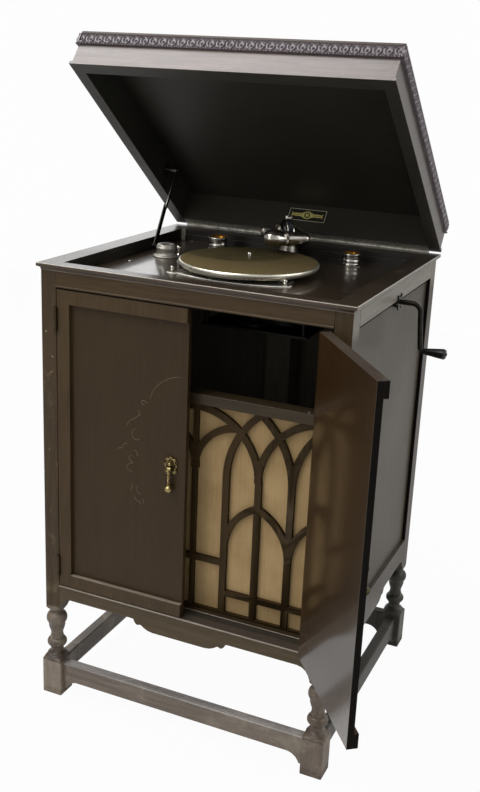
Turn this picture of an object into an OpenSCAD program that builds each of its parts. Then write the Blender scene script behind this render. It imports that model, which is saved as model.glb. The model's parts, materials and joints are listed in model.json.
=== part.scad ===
// Floor-standing wind-up gramophone cabinet.
// Millimetres, +Z up, front faces -Y, crank side +X, floor at Z = 0.

/* [Cabinet] */
// Width across the square posts
body_w = 560; // [450:1:700]
// Depth across the square posts
body_d = 504; // [400:1:620]
// Floor to the top of the rim
rim_top = 840; // [700:1:1000]
// Height of the rim moulding
rim_h = 12; // [8:1:20]
// Rim overhang past the posts
rim_over = 6; // [2:0.5:12]
// Post width seen from the front
post_x = 30; // [24:1:45]
// Post width seen from the side
post_y = 34; // [24:1:45]
// Underside of the square posts
post_z = 184; // [150:1:230]
// Foot block side
foot_s = 40; // [34:1:55]
// Foot block height
foot_h = 70; // [50:1:100]
// Recess of the side panels
panel_recess = 7; // [3:1:12]

/* [Deck] */
// Depth of the deck below the rim top
well_depth = 23; // [15:1:40]
// Width of the rim beside the well
well_side = 32; // [25:1:60]
// Width of the rim in front of the well
well_lip = 22; // [14:1:50]
// Width of the rim behind the well
well_shelf = 40; // [28:1:70]
// Deck board thickness
deck_t = 9; // [6:1:15]

/* [Doors] */
// Door bottom edge height
door_z0 = 235.5; // [225:0.5:260]
// Door top edge height
door_z1 = 797.5; // [760:0.5:798]
// Door thickness over the frame
door_t = 18; // [14:0.5:24]
// Door panel thickness
door_panel_t = 10.5; // [8:0.5:14]
// Width of stile and rails
door_rail = 25; // [18:1:40]
// Angle the right door stands open
door_open = 127.7; // [0:0.1:160]
// Hinge pin diameter
door_pin_d = 3; // [2:0.5:4]

/* [Lid] */
// Angle the lid stands open
lid_open = 37.9; // [0:0.1:60]
// Height of the lid
lid_h = 70; // [50:1:100]
// Lip of the lid past the rim at the front
lid_lip = 5.8; // [2:0.1:12]
// Lid wall thickness
lid_wall = 22; // [14:1:28]

/* [Grille] */
// Edge of the grille beside the posts
grille_edge = 8; // [4:0.5:20]
// Width of a grille bar
bar_w = 12; // [6:1:18]
// Thickness of the fretwork
fret_t = 7; // [4:0.5:10]

/* [Turntable] */
// Platter diameter
platter_d = 254; // [200:1:305]
// Spindle diameter
spindle_d = 7.2; // [6:0.1:8]
// Spindle shaft diameter below the platter
shaft_d = 8; // [7.6:0.1:10]
// Crank shaft diameter
crank_d = 9; // [6:0.5:12]
// Radial clearance of a running fit
run = 0.05; // [0.02:0.01:0.1]

/* [Hidden] */
$fn = 48;
cab_x = -59;
cab_y = 80;
hx = body_w / 2;
hy = body_d / 2;
in_x = hx - post_x;
in_y = hy - post_y;
rim_z = rim_top - rim_h;
deck_z = rim_top - well_depth;
well_x = hx - well_side;
well_front = hy - well_lip;
well_back = hy - well_shelf;
back_y = hy - 10;
back_t = 6;
bottom_y = hy - 20;
bearer_x = in_x - 12;
bearer_y = well_front - 10;
foot_o = 5.5;
leg_x = hx + foot_o - foot_s / 2;
leg_y = hy + foot_o - foot_s / 2;
rail_z = rim_top - 40;
floor_z = post_z + 50;
panel_t = 8;
panel_out = hx - panel_recess;
seat = 0.15;
pin_x = in_x - 0.6;
pin_y = -hy - 3.2;
meet_x = 2;
hinge_y = hy + rim_over + 2.2;
hinge_z = rim_top + 1;
lid_v = hinge_y + hy + rim_over + lid_lip;
door_hinge_z = [door_z0 + 19.5, door_z1 - 73.5];
gr_x = in_x - grille_edge;
bay = (gr_x - 2) / 4;
plat_x = 0;
plat_y = -8;
felt_z = deck_z + 21.5;
arm_x = 2;
arm_y = well_back - 32;
arm_z = deck_z + 51;
arm_yaw = 38;
crank_y = 0;
crank_z = rim_top - 43;
fret_y = -hy + 46;
surround_y = -hy + 34;
ledge_z = floor_z + 411;

wood = [0.24, 0.17, 0.13];
dark = [0.1, 0.08, 0.07];
nickel = [0.75, 0.74, 0.7];
brass = [0.6, 0.5, 0.28];
steel = [0.2, 0.2, 0.21];

module place() {
    translate([cab_x, cab_y, 0])
        children();
}

module both_x() {
    children();
    mirror([1, 0, 0])
        children();
}

module box(x0, x1, y0, y1, z0, z1) {
    translate([x0, y0, z0])
        cube([x1 - x0, y1 - y0, z1 - z0]);
}

// ---------- legs ----------

function arc_pts(cx, cz, r, a0, a1, n) = [for (i = [0:n]) let (a = a0 + (a1 - a0) * i / n)
    [cx + r * cos(a), cz + r * sin(a)]];

// Turned profile from the foot shoulder up to the post shoulder.
turning = concat([[0, 60], [28.6, 60], [28.6, 70], [26, 72.5], [22.5, 75], [19.4, 76.6],
    [18.8, 79.5], [17.4, 80.2], [17.4, 81.6]],
    arc_pts(19.5, 89.5, 8, 255, 190, 5),
    [[11.7, 93.5], [13.2, 94.5], [13.2, 96.2]],
    arc_pts(9.5, 105, 9, -78, 78, 10),
    [[12.6, 114.2], [12.6, 115.6]],
    arc_pts(31, 124, 19.6, 200, 152, 6),
    [[15.4, 140]],
    arc_pts(5, 156.5, 14.6, -42, 60, 9),
    [[10.4, 173.2], [10.4, 176], [13, 177.5]],
    arc_pts(1, 203, 29.5, -60, -28, 6),
    [[27, 200], [0, 200]]);

module leg_corner() {
    translate([leg_x, leg_y, 0])
        rotate_extrude()
            intersection() {
                polygon(turning);
                square([40, 199]);
            }
}

module leg() {
    difference() {
        union() {
            intersection() {
                leg_corner();
                union() {
                    box(leg_x - foot_s / 2, leg_x + foot_s / 2, leg_y - foot_s / 2,
                        leg_y + foot_s / 2, 0, 120);
                    box(leg_x - 24, leg_x + 24, leg_y - 24, leg_y + 24, 119, 175);
                    box(in_x, hx, in_y, hy, 174, 198);
                }
            }
            box(leg_x - foot_s / 2, leg_x + foot_s / 2, leg_y - foot_s / 2, leg_y + foot_s / 2,
                0, foot_h);
            box(in_x, hx, in_y, hy, 197, rim_z);
        }
        // Groove for the side panel.
        box(panel_out - panel_t - seat, panel_out + seat, in_y - 1, in_y + 6,
            floor_z + 6, rail_z + 6);
        // Mortises for the stretchers.
        box(leg_x - foot_s / 2 - 1, leg_x - foot_s / 2 + 12, leg_y - 4, leg_y + 4, 36, 60);
        box(leg_x - 4, leg_x + 4, leg_y - foot_s / 2 - 1, leg_y - foot_s / 2 + 12, 36, 60);
    }
}

module front_legs() {
    color(wood)
        place()
            both_x()
                mirror([0, 1, 0])
                    difference() {
                        leg();
                        // Recess for the door hinge leaves.
                        for (z = door_hinge_z)
                            box(in_x - 1, in_x + 1.2, hy - 16, hy + 1, z, z + 41);
                    }
}

module back_legs() {
    color(wood)
        place()
            both_x()
                difference() {
                    leg();
                    box(in_x - 1, in_x + 6, back_y - back_t - seat, back_y + seat, floor_z - 5,
                        rim_z + 1);
                }
}

// ---------- stretchers ----------

module stretcher(half) {
    difference() {
        union() {
            translate([-half, -10, 30])
                cube([2 * half, 20, 36]);
            for (s = [-1, 1])
                translate([s * half - (s > 0 ? 32 : 0), -10, 12])
                    cube([32, 20, 19]);
            translate([-half - 11.5, -4 + 0.1, 36.1])
                cube([2 * half + 23, 7.8, 23.8]);
        }
        for (s = [-1, 1])
            translate([s * (half - 31), -11, 4])
                rotate([-90, 0, 0])
                    cylinder(r = 26, h = 22);
        // Top edges eased by wear.
        for (s = [-1, 1])
            translate([0, s * 10, 66])
                rotate([45, 0, 0])
                    cube([2 * half + 60, 2.6, 2.6], center = true);
    }
}

module long_stretchers() {
    color(wood)
        place()
            for (s = [-1, 1])
                translate([0, s * leg_y, 0])
                    stretcher(leg_x - foot_s / 2);
}

module side_stretchers() {
    color(wood)
        place()
            for (s = [-1, 1])
                translate([s * leg_x, 0, 0])
                    rotate([0, 0, 90])
                        stretcher(leg_y - foot_s / 2);
}

// ---------- case ----------

module front_top_rail() {
    color(wood)
        place() {
            box(-in_x, in_x, -hy, -well_front, rail_z, rim_z);
            box(-in_x, in_x, -well_front - 1, -bearer_y, rail_z, deck_z - deck_t);
            translate([-in_x, -hy, rail_z + 2.4])
                rotate([0, 90, 0])
                    cylinder(r = 2.2, h = 2 * in_x, $fn = 24);
        }
}

// Half of a shaped lower edge, out from the centre; s scales it along the rail.
function edge_half(s, e) = [[0, 189], [52 * s, 189], [62 * s, 190.5], [70 * s, 194],
    [76 * s, 198.5], [79 * s, 198.5], [82 * s, 196.8], [86 * s, 197.6], [89 * s, 200.5],
    [92 * s, 207], [98 * s, 207.5], [e - 24, 207.5], [e - 15, 205.5], [e - 8, 200.5],
    [e - 3, 193], [e, 185]];

module shaped_rail(s, e, top) {
    h = edge_half(s, e);
    n = len(h);
    polygon(concat([for (i = [0:n - 1]) h[i]], [[e, top], [-e, top]],
        [for (i = [0:n - 2]) [-h[n - 1 - i][0], h[n - 1 - i][1]]]));
}

module front_apron() {
    color(wood)
        place() {
            translate([0, -bottom_y, 0])
                rotate([90, 0, 0])
                    linear_extrude(hy - bottom_y)
                        shaped_rail(1, in_x, floor_z);
            translate([-in_x, -hy, floor_z - 2.4])
                rotate([0, 90, 0])
                    cylinder(r = 1.8, h = 2 * in_x, $fn = 24);
        }
}

module side_rail_pair() {
    difference() {
        union() {
            box(in_x, hx, -in_y, in_y, rail_z, rim_z);
            box(well_x, in_x, -well_front, well_back, deck_z - deck_t, rim_z);
            box(bearer_x, in_x, -bearer_y, well_back - 7, rail_z, deck_z - deck_t);
        }
        box(panel_out - panel_t - seat, panel_out + seat, -in_y - 1, in_y + 1,
            rail_z - 1, rail_z + 4);
        translate([in_x - 20, crank_y, crank_z])
            rotate([0, 90, 0])
                cylinder(d = 16, h = 60);
    }
    difference() {
        translate([hx, 0, 0])
            rotate([90, 0, -90])
                linear_extrude(post_x)
                    shaped_rail(0.87, in_y, 250);
        box(panel_out - panel_t - seat, panel_out + seat, -in_y - 1, in_y + 1,
            floor_z + 12, floor_z + 17);
    }
}

module side_rails() {
    color(wood)
        place()
            both_x()
                side_rail_pair();
}

module back_rails() {
    color(wood)
        place() {
            box(-in_x, in_x, well_back, back_y - back_t, rail_z, rim_z);
            box(-well_x, well_x, well_back - 7, well_back + 1, rail_z, deck_z - deck_t);
            box(-in_x, in_x, bottom_y, back_y - back_t, floor_z - 28, floor_z);
        }
}

module side_panels() {
    color(wood)
        place()
            both_x()
                difference() {
                    box(panel_out - panel_t, panel_out, -in_y - 5.8, in_y + 5.8,
                        floor_z + 12.2, rail_z + 3.8);
                    translate([in_x - 20, crank_y, crank_z])
                        rotate([0, 90, 0])
                            cylinder(d = 16, h = 60);
                }
}

module back_panel() {
    color(wood)
        place()
            box(-in_x - 5.8, in_x + 5.8, back_y - back_t, back_y, floor_z - 4, rim_z);
}

module bottom_board() {
    color(wood)
        place()
            box(-in_x, in_x, -bottom_y, bottom_y, floor_z - 12, floor_z);
}

module top_rim() {
    ox = hx + rim_over;
    oy = hy + rim_over;
    color(wood)
        place()
            difference() {
                box(-ox, ox, -oy, oy, rim_z, rim_top);
                box(-well_x, well_x, -well_front, well_back, rim_z - 1, rim_top + 1);
                for (s = [-1, 1]) {
                    translate([s * ox, 0, rim_z])
                        rotate([90, 0, 0])
                            cylinder(r = 6, h = 2 * oy + 20, center = true);
                    translate([0, s * oy, rim_z])
                        rotate([0, 90, 0])
                            cylinder(r = 6, h = 2 * ox + 20, center = true);
                }
                // Mortise for the lower hinge leaf.
                box(-leaf_x - 0.2, leaf_x + 0.2, hinge_y - 20, oy + 1, rim_top - 1.2, rim_top + 1);
            }
}

module motor_board() {
    color(dark)
        place()
            difference() {
                box(-well_x + 0.2, well_x - 0.2, -well_front + 0.2, well_back - 0.2,
                    deck_z - deck_t, deck_z);
                translate([plat_x, plat_y, deck_z - 20])
                    cylinder(d = 16, h = 40);
                translate([arm_x, arm_y, deck_z - 20])
                    cylinder(d = 26, h = 40);
            }
}

// ---------- grille and horn ----------

module grille_surround() {
    color(wood)
        place()
            difference() {
                union() {
                    box(-in_x, in_x, surround_y, surround_y + 30, floor_z, ledge_z);
                    box(-in_x - 8, in_x + 8, surround_y, surround_y + 30, floor_z + 17, ledge_z);
                }
                box(6 - gr_x, gr_x - 6, surround_y - 1, surround_y + 40, floor_z + 2.5,
                    ledge_z - 19);
                box(-gr_x, gr_x, fret_y, surround_y + 40, floor_z + 2.5, ledge_z - 13);
            }
}

module ring2(cx, cz, r, x0, x1, z0) {
    intersection() {
        translate([cx, cz])
            difference() {
                circle(r = r + bar_w / 2, $fn = 96);
                circle(r = r - bar_w / 2, $fn = 96);
            }
        translate([x0, z0])
            square([x1 - x0, 660 - z0]);
    }
}

// Interlaced arches, right half; x runs from the middle of the grille.
module tracery_half() {
    w = bar_w / 2;
    // Wide round arch over the four middle bays.
    ring2(0, 499, 2 * bay - 1, -1, 2 * bay + w - 1, 499);
    // Smaller arch rising from the middle mullion.
    ring2(bay * 1.38, 506, bay * 1.4, -8, bay * 1.28, 506);
    // Lancet arch over the second and third bays.
    ring2(bay + 155, 500, 155, bay - w, 2 * bay, 500);
    ring2(3 * bay - 155, 500, 155, 2 * bay, 3 * bay + w, 500);
    // Arches that run out into the side stile.
    ring2(gr_x + 1, 500, 125, 2 * bay - w - 2, gr_x - seat, 500);
    ring2(3 * bay + 155, 500, 155, 3 * bay - w, gr_x - seat, 500);
    // Lower lancets.
    ring2(bay + 93, 365, 93, bay - w, 2 * bay, 365);
    ring2(3 * bay - 93, 365, 93, 2 * bay, 3 * bay + w, 365);
    ring2(3 * bay + 93, 365, 93, 3 * bay - w, gr_x - seat, 365);
    for (i = [1:3])
        translate([i * bay - w, 237])
            square([bar_w, 264]);
    translate([-1, 237])
        square([5.5, 380]);
    translate([0, 330])
        square([bay, 11.5]);
    translate([bay, 273])
        square([gr_x - bay, 11]);
}

module fret_outline() {
    difference() {
        translate([seat - gr_x, floor_z + 2.7])
            square([2 * (gr_x - seat), 395]);
        translate([7 - gr_x, floor_z + 6.7])
            square([2 * gr_x - 14, 385]);
    }
    intersection() {
        translate([seat - gr_x, floor_z + 2.7])
            square([2 * (gr_x - seat), 395]);
        union() {
            tracery_half();
            mirror([1, 0])
                tracery_half();
        }
    }
}

module fretwork_grille() {
    color(wood)
        place()
            translate([0, fret_y + fret_t, 0])
                rotate([90, 0, 0])
                    linear_extrude(fret_t)
                        fret_outline();
}

module grille_cloth() {
    color([0.66, 0.55, 0.38])
        place()
            box(1 - gr_x, gr_x - 1, fret_y + fret_t, fret_y + fret_t + 1, floor_z + 4,
                ledge_z - 14);
}

horn_y0 = surround_y + 30;
horn_y1 = 150;
horn_t = 8;

// Board of the flare between a front and a back rectangle.
module flare_board(x0, x1, z0, z1, u0, u1, w0, w1) {
    hull() {
        translate([x0, horn_y0, z0])
            cube([x1 - x0, 0.2, z1 - z0]);
        translate([arm_x + u0, horn_y1 - 0.2, w0])
            cube([u1 - u0, 0.2, w1 - w0]);
    }
}

module wooden_horn() {
    a = in_x - 10;
    z0 = floor_z + 2;
    z1 = ledge_z - 9;
    c = 54;
    w0 = z0 + 54;
    w1 = w0 + 117;
    t = horn_t;
    g = 0.4;
    color(wood)
        place() {
            // Flare of four boards from the grille back to the throat.
            flare_board(-a, a, z1 - t, z1, -c, c, w1 - t, w1);
            flare_board(-a, a, z0, z0 + t, -c, c, w0, w0 + t);
            flare_board(-a, t - a, z0 + t + g, z1 - t - g, -c, t - c, w0 + t + g, w1 - t - g);
            flare_board(a - t, a, z0 + t + g, z1 - t - g, c - t, c, w0 + t + g, w1 - t - g);
            // Throat box and the duct down from the tonearm.
            difference() {
                union() {
                    box(arm_x - c, arm_x + c, horn_y1 + g, arm_y + 24, w0, w1);
                    box(arm_x - 26, arm_x + 26, arm_y - 26, arm_y + 24, w1 - 1,
                        deck_z - deck_t);
                }
                box(arm_x - c + t, arm_x + c - t, horn_y1 - 1, arm_y + 16, w0 + t, w1 - t);
                box(arm_x - 18, arm_x + 18, arm_y - 18, arm_y + 16, w1 - t - 1, deck_z - 20);
                translate([arm_x, arm_y, deck_z - 30])
                    cylinder(d = 24, h = 40);
            }
        }
}

// ---------- doors ----------
// Drawn closed, for the right side: pin at the origin, door toward -X.

left_w = pin_x + meet_x - 0.4;
right_w = pin_x - meet_x - 0.4;
door_f = 3.2;

module door_panel(door_w) {
    difference() {
        box(-door_w, -0.6, door_f + door_t - door_panel_t, door_f + door_t, door_z0, door_z1);
        // Recesses for the hinge leaves.
        for (z = door_hinge_z)
            box(-0.6 - 1.2, 0, 0, 19, z, z + 41);
    }
}

module door_frame(door_w) {
    f1 = door_f + door_t - door_panel_t;
    difference() {
        union() {
            box(-0.6 - door_rail, -0.6, door_f, f1, door_z0, door_z1);
            box(-door_w, -0.6, door_f, f1, door_z0, door_z0 + door_rail);
            box(-door_w, -0.6, door_f, f1, door_z1 - door_rail, door_z1);
        }
        for (z = door_hinge_z)
            box(-0.6 - 1.2, 0, 0, 19, z, z + 41);
    }
}

module door_leaf() {
    for (z = door_hinge_z)
        difference() {
            union() {
                box(-1.8, -0.6, 2.9, 18.8, z + 0.1, z + 40.9);
                for (k = [0, 2, 4]) {
                    translate([0, 0, z + 0.3 + k * 8.1])
                        cylinder(r = 2.6, h = 7.8);
                    box(-1.8, -0.6, 0.5, 3, z + 0.3 + k * 8.1, z + 8.1 + k * 8.1);
                }
            }
            translate([0, 0, z - 1])
                cylinder(d = door_pin_d + 2 * run, h = 43);
        }
}

module case_leaf_one(z) {
    box(0.6, 1.8, 2.9, 18.8, z + 0.1, z + 40.9);
    for (k = [1, 3]) {
        translate([0, 0, z + 0.3 + k * 8.1])
            cylinder(r = 2.6, h = 7.8);
        box(0.6, 1.8, 0.5, 3, z + 0.3 + k * 8.1, z + 8.1 + k * 8.1);
    }
    translate([0, 0, z - 1])
        cylinder(d = door_pin_d, h = 43);
    for (e = [z - 2, z + 41])
        translate([0, 0, e])
            cylinder(r = 2.4, h = 2);
}

module right_at() {
    place()
        translate([pin_x, pin_y, 0])
            rotate([0, 0, door_open])
                children();
}

module left_at() {
    place()
        translate([-pin_x, pin_y, 0])
            mirror([1, 0, 0])
                children();
}

module left_door_panel() {
    color(wood)
        left_at()
            door_panel(left_w);
}

module left_door_frame() {
    color(wood)
        left_at()
            door_frame(left_w);
}

module right_door_panel() {
    color(wood)
        right_at()
            door_panel(right_w);
}

module right_door_frame() {
    color(wood)
        right_at()
            door_frame(right_w);
}

module case_hinge_leaves() {
    color(brass)
        place()
            both_x()
                translate([pin_x, pin_y, 0])
                    for (z = door_hinge_z)
                        case_leaf_one(z);
}

module left_hinge_leaves() {
    color(brass)
        left_at()
            door_leaf();
}

module right_hinge_leaves() {
    color(brass)
        right_at()
            door_leaf();
}

pull_in = 27.4;
pull_z = door_z0 + 278.5;
pull_out = 7.8;
pull_f = door_f + door_t - door_panel_t;

module pull_plate(door_w) {
    translate([pull_in - door_w, pull_f, 0]) {
        rotate([90, 0, 0])
            difference() {
                union() {
                    translate([0, pull_z + 3, 0])
                        cylinder(r = 8, h = 2);
                    for (s = [-1, 1])
                        for (z = [pull_z - 6.5, pull_z + 11])
                            translate([s * 6.6, z, 0])
                                cylinder(r = 6, h = 2);
                    translate([0, pull_z + 15.4, 0])
                        cylinder(r = 5.6, h = 2);
                    translate([0, pull_z - 9.6, 0])
                        cylinder(r = 5.4, h = 2);
                }
                for (s = [-1, 1])
                    for (z = [pull_z - 6.5, pull_z + 11])
                        translate([s * 8, z, -1])
                            cylinder(r = 2.6, h = 4, $fn = 24);
            }
        // Lugs that carry the drop.
        for (s = [-1, 1])
            translate([s * 4.3 - 1, -pull_out - 2.4, pull_z - 3])
                cube([2, pull_out + 0.9, 6]);
        translate([-5.3, -pull_out, pull_z])
            rotate([0, 90, 0])
                cylinder(d = 2, h = 10.6, $fn = 24);
    }
}

module pull_drop(door_w) {
    translate([pull_in - door_w, pull_f - pull_out, pull_z]) {
        difference() {
            rotate([0, 90, 0])
                cylinder(r = 2.8, h = 6, center = true);
            rotate([0, 90, 0])
                cylinder(d = 2 + 2 * run, h = 8, center = true, $fn = 24);
        }
        rotate_extrude($fn = 32)
            polygon([[0, -2.4], [2, -2.4], [2, -12], [3, -14], [2.4, -16], [3.2, -18.5],
                [2.4, -21], [3.2, -23.5], [2.4, -26], [3.4, -29], [4, -32], [6.6, -34],
                [7.3, -36], [7, -38.5], [5, -41.2], [2.6, -42.6], [2.4, -44], [0, -45]]);
    }
}

module left_pull_plate() {
    color(brass)
        left_at()
            pull_plate(left_w);
}

module left_pull_drop() {
    color(brass)
        left_at()
            pull_drop(left_w);
}

module right_pull_plate() {
    color(brass)
        right_at()
            pull_plate(right_w);
}

module right_pull_drop() {
    color(brass)
        right_at()
            pull_drop(right_w);
}

// ---------- lid ----------
// Drawn closed, relative to the hinge line: front toward -Y, up +Z.

module lid_at() {
    place()
        translate([0, hinge_y, hinge_z])
            rotate([-lid_open, 0, 0])
                children();
}

lid_x = hx + 3;
lid_back = -2.2;
lid_front = -lid_v + 3;

module lid_frame() {
    ox = hx + rim_over;
    color(wood)
        lid_at()
            difference() {
                union() {
                    box(-lid_x, lid_x, lid_front, lid_back, 1, lid_h - 6);
                    box(-ox, ox, -lid_v, lid_back, 1, 7);
                }
                box(-ox + lid_wall, ox - lid_wall, -lid_v + 25, lid_back - 20, 0, lid_h);
                // Mortise for the upper hinge leaf.
                box(-leaf_x - 0.2, leaf_x + 0.2, -20, 0, 0, 2.2);
            }
}

module lid_panel() {
    color(dark)
        lid_at()
            box(-lid_x - 3, lid_x + 3, lid_front - 3, lid_back, lid_h - 6, lid_h);
}

// Carved strip along +X from the origin, standing toward -Y.
module carved_strip(len) {
    n = floor(len / 15);
    p = len / n;
    difference() {
        union() {
            translate([0, -5.5, 0])
                cube([len, 5.5, 20]);
        }
        for (i = [0:n - 1])
            translate([(i + 0.5) * p, -8.2, 4])
                cylinder(r = 5, h = 12, $fn = 20);
        translate([-1, -5.5, 0])
            rotate([45, 0, 0])
                cube([len + 2, 2.4, 2.4], center = false);
    }
}

module lid_carved_band() {
    color(wood)
        lid_at() {
            translate([-lid_x - 5.5, lid_front, 43])
                carved_strip(2 * lid_x + 11);
            translate([lid_x, lid_front, 43])
                rotate([0, 0, 90])
                    carved_strip(lid_back - lid_front);
            translate([-lid_x, lid_back, 43])
                rotate([0, 0, -90])
                    carved_strip(lid_back - lid_front);
        }
}

module lid_label_plate() {
    color(brass)
        lid_at()
            box(-36, 46, lid_back - 20.6, lid_back - 20, 24, 54);
}

leaf_x = hx - 18;
leaf_n = 27;

module knuckles(odd) {
    w = 2 * leaf_x / leaf_n;
    for (i = [(odd ? 1 : 0):2:leaf_n - 1])
        translate([-leaf_x + i * w + 0.1, 0, 0])
            rotate([0, 90, 0])
                cylinder(r = 2, h = w - 0.2, $fn = 20);
}

module lid_hinge_lower_leaf() {
    color(nickel)
        place()
            translate([0, hinge_y, hinge_z])
                difference() {
                    union() {
                        box(-leaf_x, leaf_x, -19.8, -2.1, -2, -0.9);
                        knuckles(false);
                        for (i = [0:2:leaf_n - 1])
                            translate([-leaf_x + i * 2 * leaf_x / leaf_n + 0.1, -3, -2])
                                cube([2 * leaf_x / leaf_n - 0.2, 3, 1.1]);
                    }
                    rotate([0, 90, 0])
                        cylinder(d = 1.6 + 2 * run, h = 2 * leaf_x + 16, center = true, $fn = 20);
                }
}

module lid_hinge_upper_leaf() {
    color(nickel)
        lid_at() {
            difference() {
                union() {
                    box(-leaf_x, leaf_x, -19.8, -2.1, 1, 2.1);
                    knuckles(true);
                    for (i = [1:2:leaf_n - 1])
                        translate([-leaf_x + i * 2 * leaf_x / leaf_n + 0.1, -3, 0.9])
                            cube([2 * leaf_x / leaf_n - 0.2, 3, 1.1]);
                }
                rotate([0, 90, 0])
                    cylinder(d = 1.5, h = 2 * leaf_x + 16, center = true, $fn = 20);
            }
            rotate([0, 90, 0])
                cylinder(d = 1.6, h = 2 * leaf_x, center = true, $fn = 20);
        }
}

// ---------- lid stay ----------

stay_x = 6 - well_x;
function lid_pt(v, n, a) = [hinge_y - v * cos(a) + n * sin(a), hinge_z + v * sin(a) + n * cos(a)];
foot_p = [hinge_y - 181.2, rim_top - 16];
top_v = 152.5;
top_n = 37;
link1 = 82;
link2 = norm(lid_pt(top_v, top_n, lid_open) - foot_p) - link1 + 0.05;

function knee(t) = let (d = norm(t - foot_p), a = (link1 * link1 - link2 * link2 + d * d) / (2 * d),
    h = sqrt(max(0, link1 * link1 - a * a)), u = (t - foot_p) / d)
    foot_p + a * u + h * [-u[1], u[0]];

stay_t = lid_pt(top_v, top_n, lid_open);
stay_k = knee(stay_t);
ang1 = atan2(stay_k[1] - foot_p[1], stay_k[0] - foot_p[0]);
ang2 = atan2(stay_k[1] - stay_t[1], stay_k[0] - stay_t[0]);

// Flat bar in the YZ plane from the origin along +Y.
module bar(len, w, w2, t) {
    difference() {
        union() {
            translate([0, 0, -w / 2])
                cube([t, len, w]);
            rotate([0, 90, 0])
                cylinder(d = w, h = t);
            translate([0, len, 0])
                rotate([0, 90, 0])
                    cylinder(d = w2, h = t);
        }
        rotate([0, 90, 0])
            translate([0, 0, -1])
                cylinder(d = 4 + 2 * run, h = t + 2);
    }
}

module stay_foot() {
    color(steel)
        place()
            translate([-well_x, foot_p[0], foot_p[1]]) {
                translate([0, -14, -6.5])
                    cube([2.2, 28, 13]);
                rotate([0, 90, 0])
                    cylinder(d = 4, h = 8.4);
                rotate([0, 90, 0])
                    cylinder(d = 8, h = 5.4);
                translate([8.3, 0, 0])
                    rotate([0, 90, 0])
                        cylinder(d = 7, h = 1.4);
            }
}

module stay_lower_link() {
    color(steel)
        place()
            translate([stay_x, foot_p[0], foot_p[1]])
                rotate([ang1, 0, 0]) {
                    bar(link1, 12, 12, 2);
                    // Rivet head at the knee.
                    translate([-0.9, link1, 0])
                        rotate([0, 90, 0])
                            cylinder(d = 7, h = 1);
                }
}

module stay_upper_link() {
    color(steel)
        place()
            translate([stay_x + 2.3, stay_t[0], stay_t[1]])
                rotate([ang2, 0, 0])
                    bar(link2, 7, 8, 2);
}

module stay_lid_bracket() {
    color(steel)
        lid_at()
            translate([0, -top_v, top_n]) {
                translate([-hx - rim_over + lid_wall, -8, -10])
                    cube([2.2, 16, 20]);
                translate([-hx - rim_over + lid_wall, 0, 0])
                    rotate([0, 90, 0])
                        cylinder(d = 8, h = stay_x + 2 - (-hx - rim_over + lid_wall));
                translate([stay_x + 1.9, 0, 0])
                    rotate([0, 90, 0])
                        cylinder(d = 4, h = 2.8);
                translate([stay_x + 4.6, 0, 0])
                    rotate([0, 90, 0])
                        cylinder(d = 7, h = 1.4);
            }
}

// ---------- turntable ----------

module platter_at() {
    place()
        translate([plat_x, plat_y, 0])
            children();
}

module platter() {
    r = platter_d / 2;
    color(nickel)
        platter_at()
            rotate_extrude($fn = 120)
                polygon([[shaft_d / 2, felt_z - 8], [12, felt_z - 8], [14, felt_z - 5],
                    [r - 8, felt_z - 5], [r - 6, felt_z - 12], [r - 2, felt_z - 12.5],
                    [r, felt_z - 10.5], [r, felt_z - 4], [r - 1, felt_z - 1.4],
                    [r - 2.6, felt_z - 0.6], [r - 3, felt_z - 2], [shaft_d / 2, felt_z - 2]]);
}

module platter_felt() {
    color([0.31, 0.27, 0.16])
        platter_at()
            translate([0, 0, felt_z - 2])
                difference() {
                    cylinder(r = platter_d / 2 - 3.2, h = 2, $fn = 120);
                    translate([0, 0, -1])
                        cylinder(d = shaft_d + 1, h = 4);
                }
}

function teeth_pts(n, r0, r1) = [for (i = [0:n - 1], k = [0:3])
    let (a = (i + [0, 0.3, 0.5, 0.8][k]) * 360 / n, r = k < 2 ? r1 : r0) [r * cos(a), r * sin(a)]];

module gear(n, r, h) {
    linear_extrude(h)
        polygon(teeth_pts(n, r - min(3, r * 0.18), r));
}

module spindle() {
    color(nickel)
        platter_at() {
            translate([0, 0, 716])
                cylinder(d = shaft_d, h = felt_z - 716);
            translate([0, 0, felt_z - 1])
                cylinder(d = spindle_d, h = 12);
            translate([0, 0, felt_z + 11])
                sphere(d = spindle_d, $fn = 24);
            translate([0, 0, 727])
                gear(12, 8, 6);
            translate([0, 0, 744])
                gear(30, 14, 6);
        }
}

// ---------- deck furniture ----------

cup_r = [137, well_back - 49];
cup_b = [-138, well_back - 60];
cup_f = [-189, 29];

module cup() {
    rotate_extrude()
        polygon([[0, 0], [23, 0], [23.5, 1], [22, 2], [17.2, 2.6], [16.4, 4], [16.4, 19],
            [17.8, 21], [17.4, 23], [14.5, 23.6], [13, 22.5], [5, 8], [0, 7]]);
}

module needle_cups() {
    color(nickel)
        place() {
            translate([cup_r[0], cup_r[1], deck_z])
                cup();
            translate([cup_b[0], cup_b[1], deck_z])
                scale([1.12, 1.12, 1.12])
                    cup();
            translate([cup_f[0], cup_f[1], deck_z])
                rotate_extrude()
                    polygon([[0, 0], [24.5, 0], [25, 1.6], [22, 3.6], [17.4, 4.6], [17, 6],
                        [17, 14], [18.4, 16], [17.6, 18], [15.6, 19.4], [14.4, 22.4],
                        [6, 23.4], [4.8, 21.8], [4.2, 12], [0, 11]]);
        }
}

module speed_plate() {
    color(nickel)
        place()
            difference() {
                union() {
                    intersection() {
                        translate([0, 130, deck_z])
                            cylinder(r = 252, h = 2, $fn = 160);
                        box(-104, 104, -150, -50, deck_z, deck_z + 2);
                    }
                    for (c = [[-106, -99], [103, -88]])
                        translate([c[0], c[1], deck_z])
                            cylinder(r = 11, h = 2);
                }
                translate([plat_x, plat_y, deck_z - 1])
                    cylinder(r = 92, h = 4, $fn = 96);
            }
}

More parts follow.
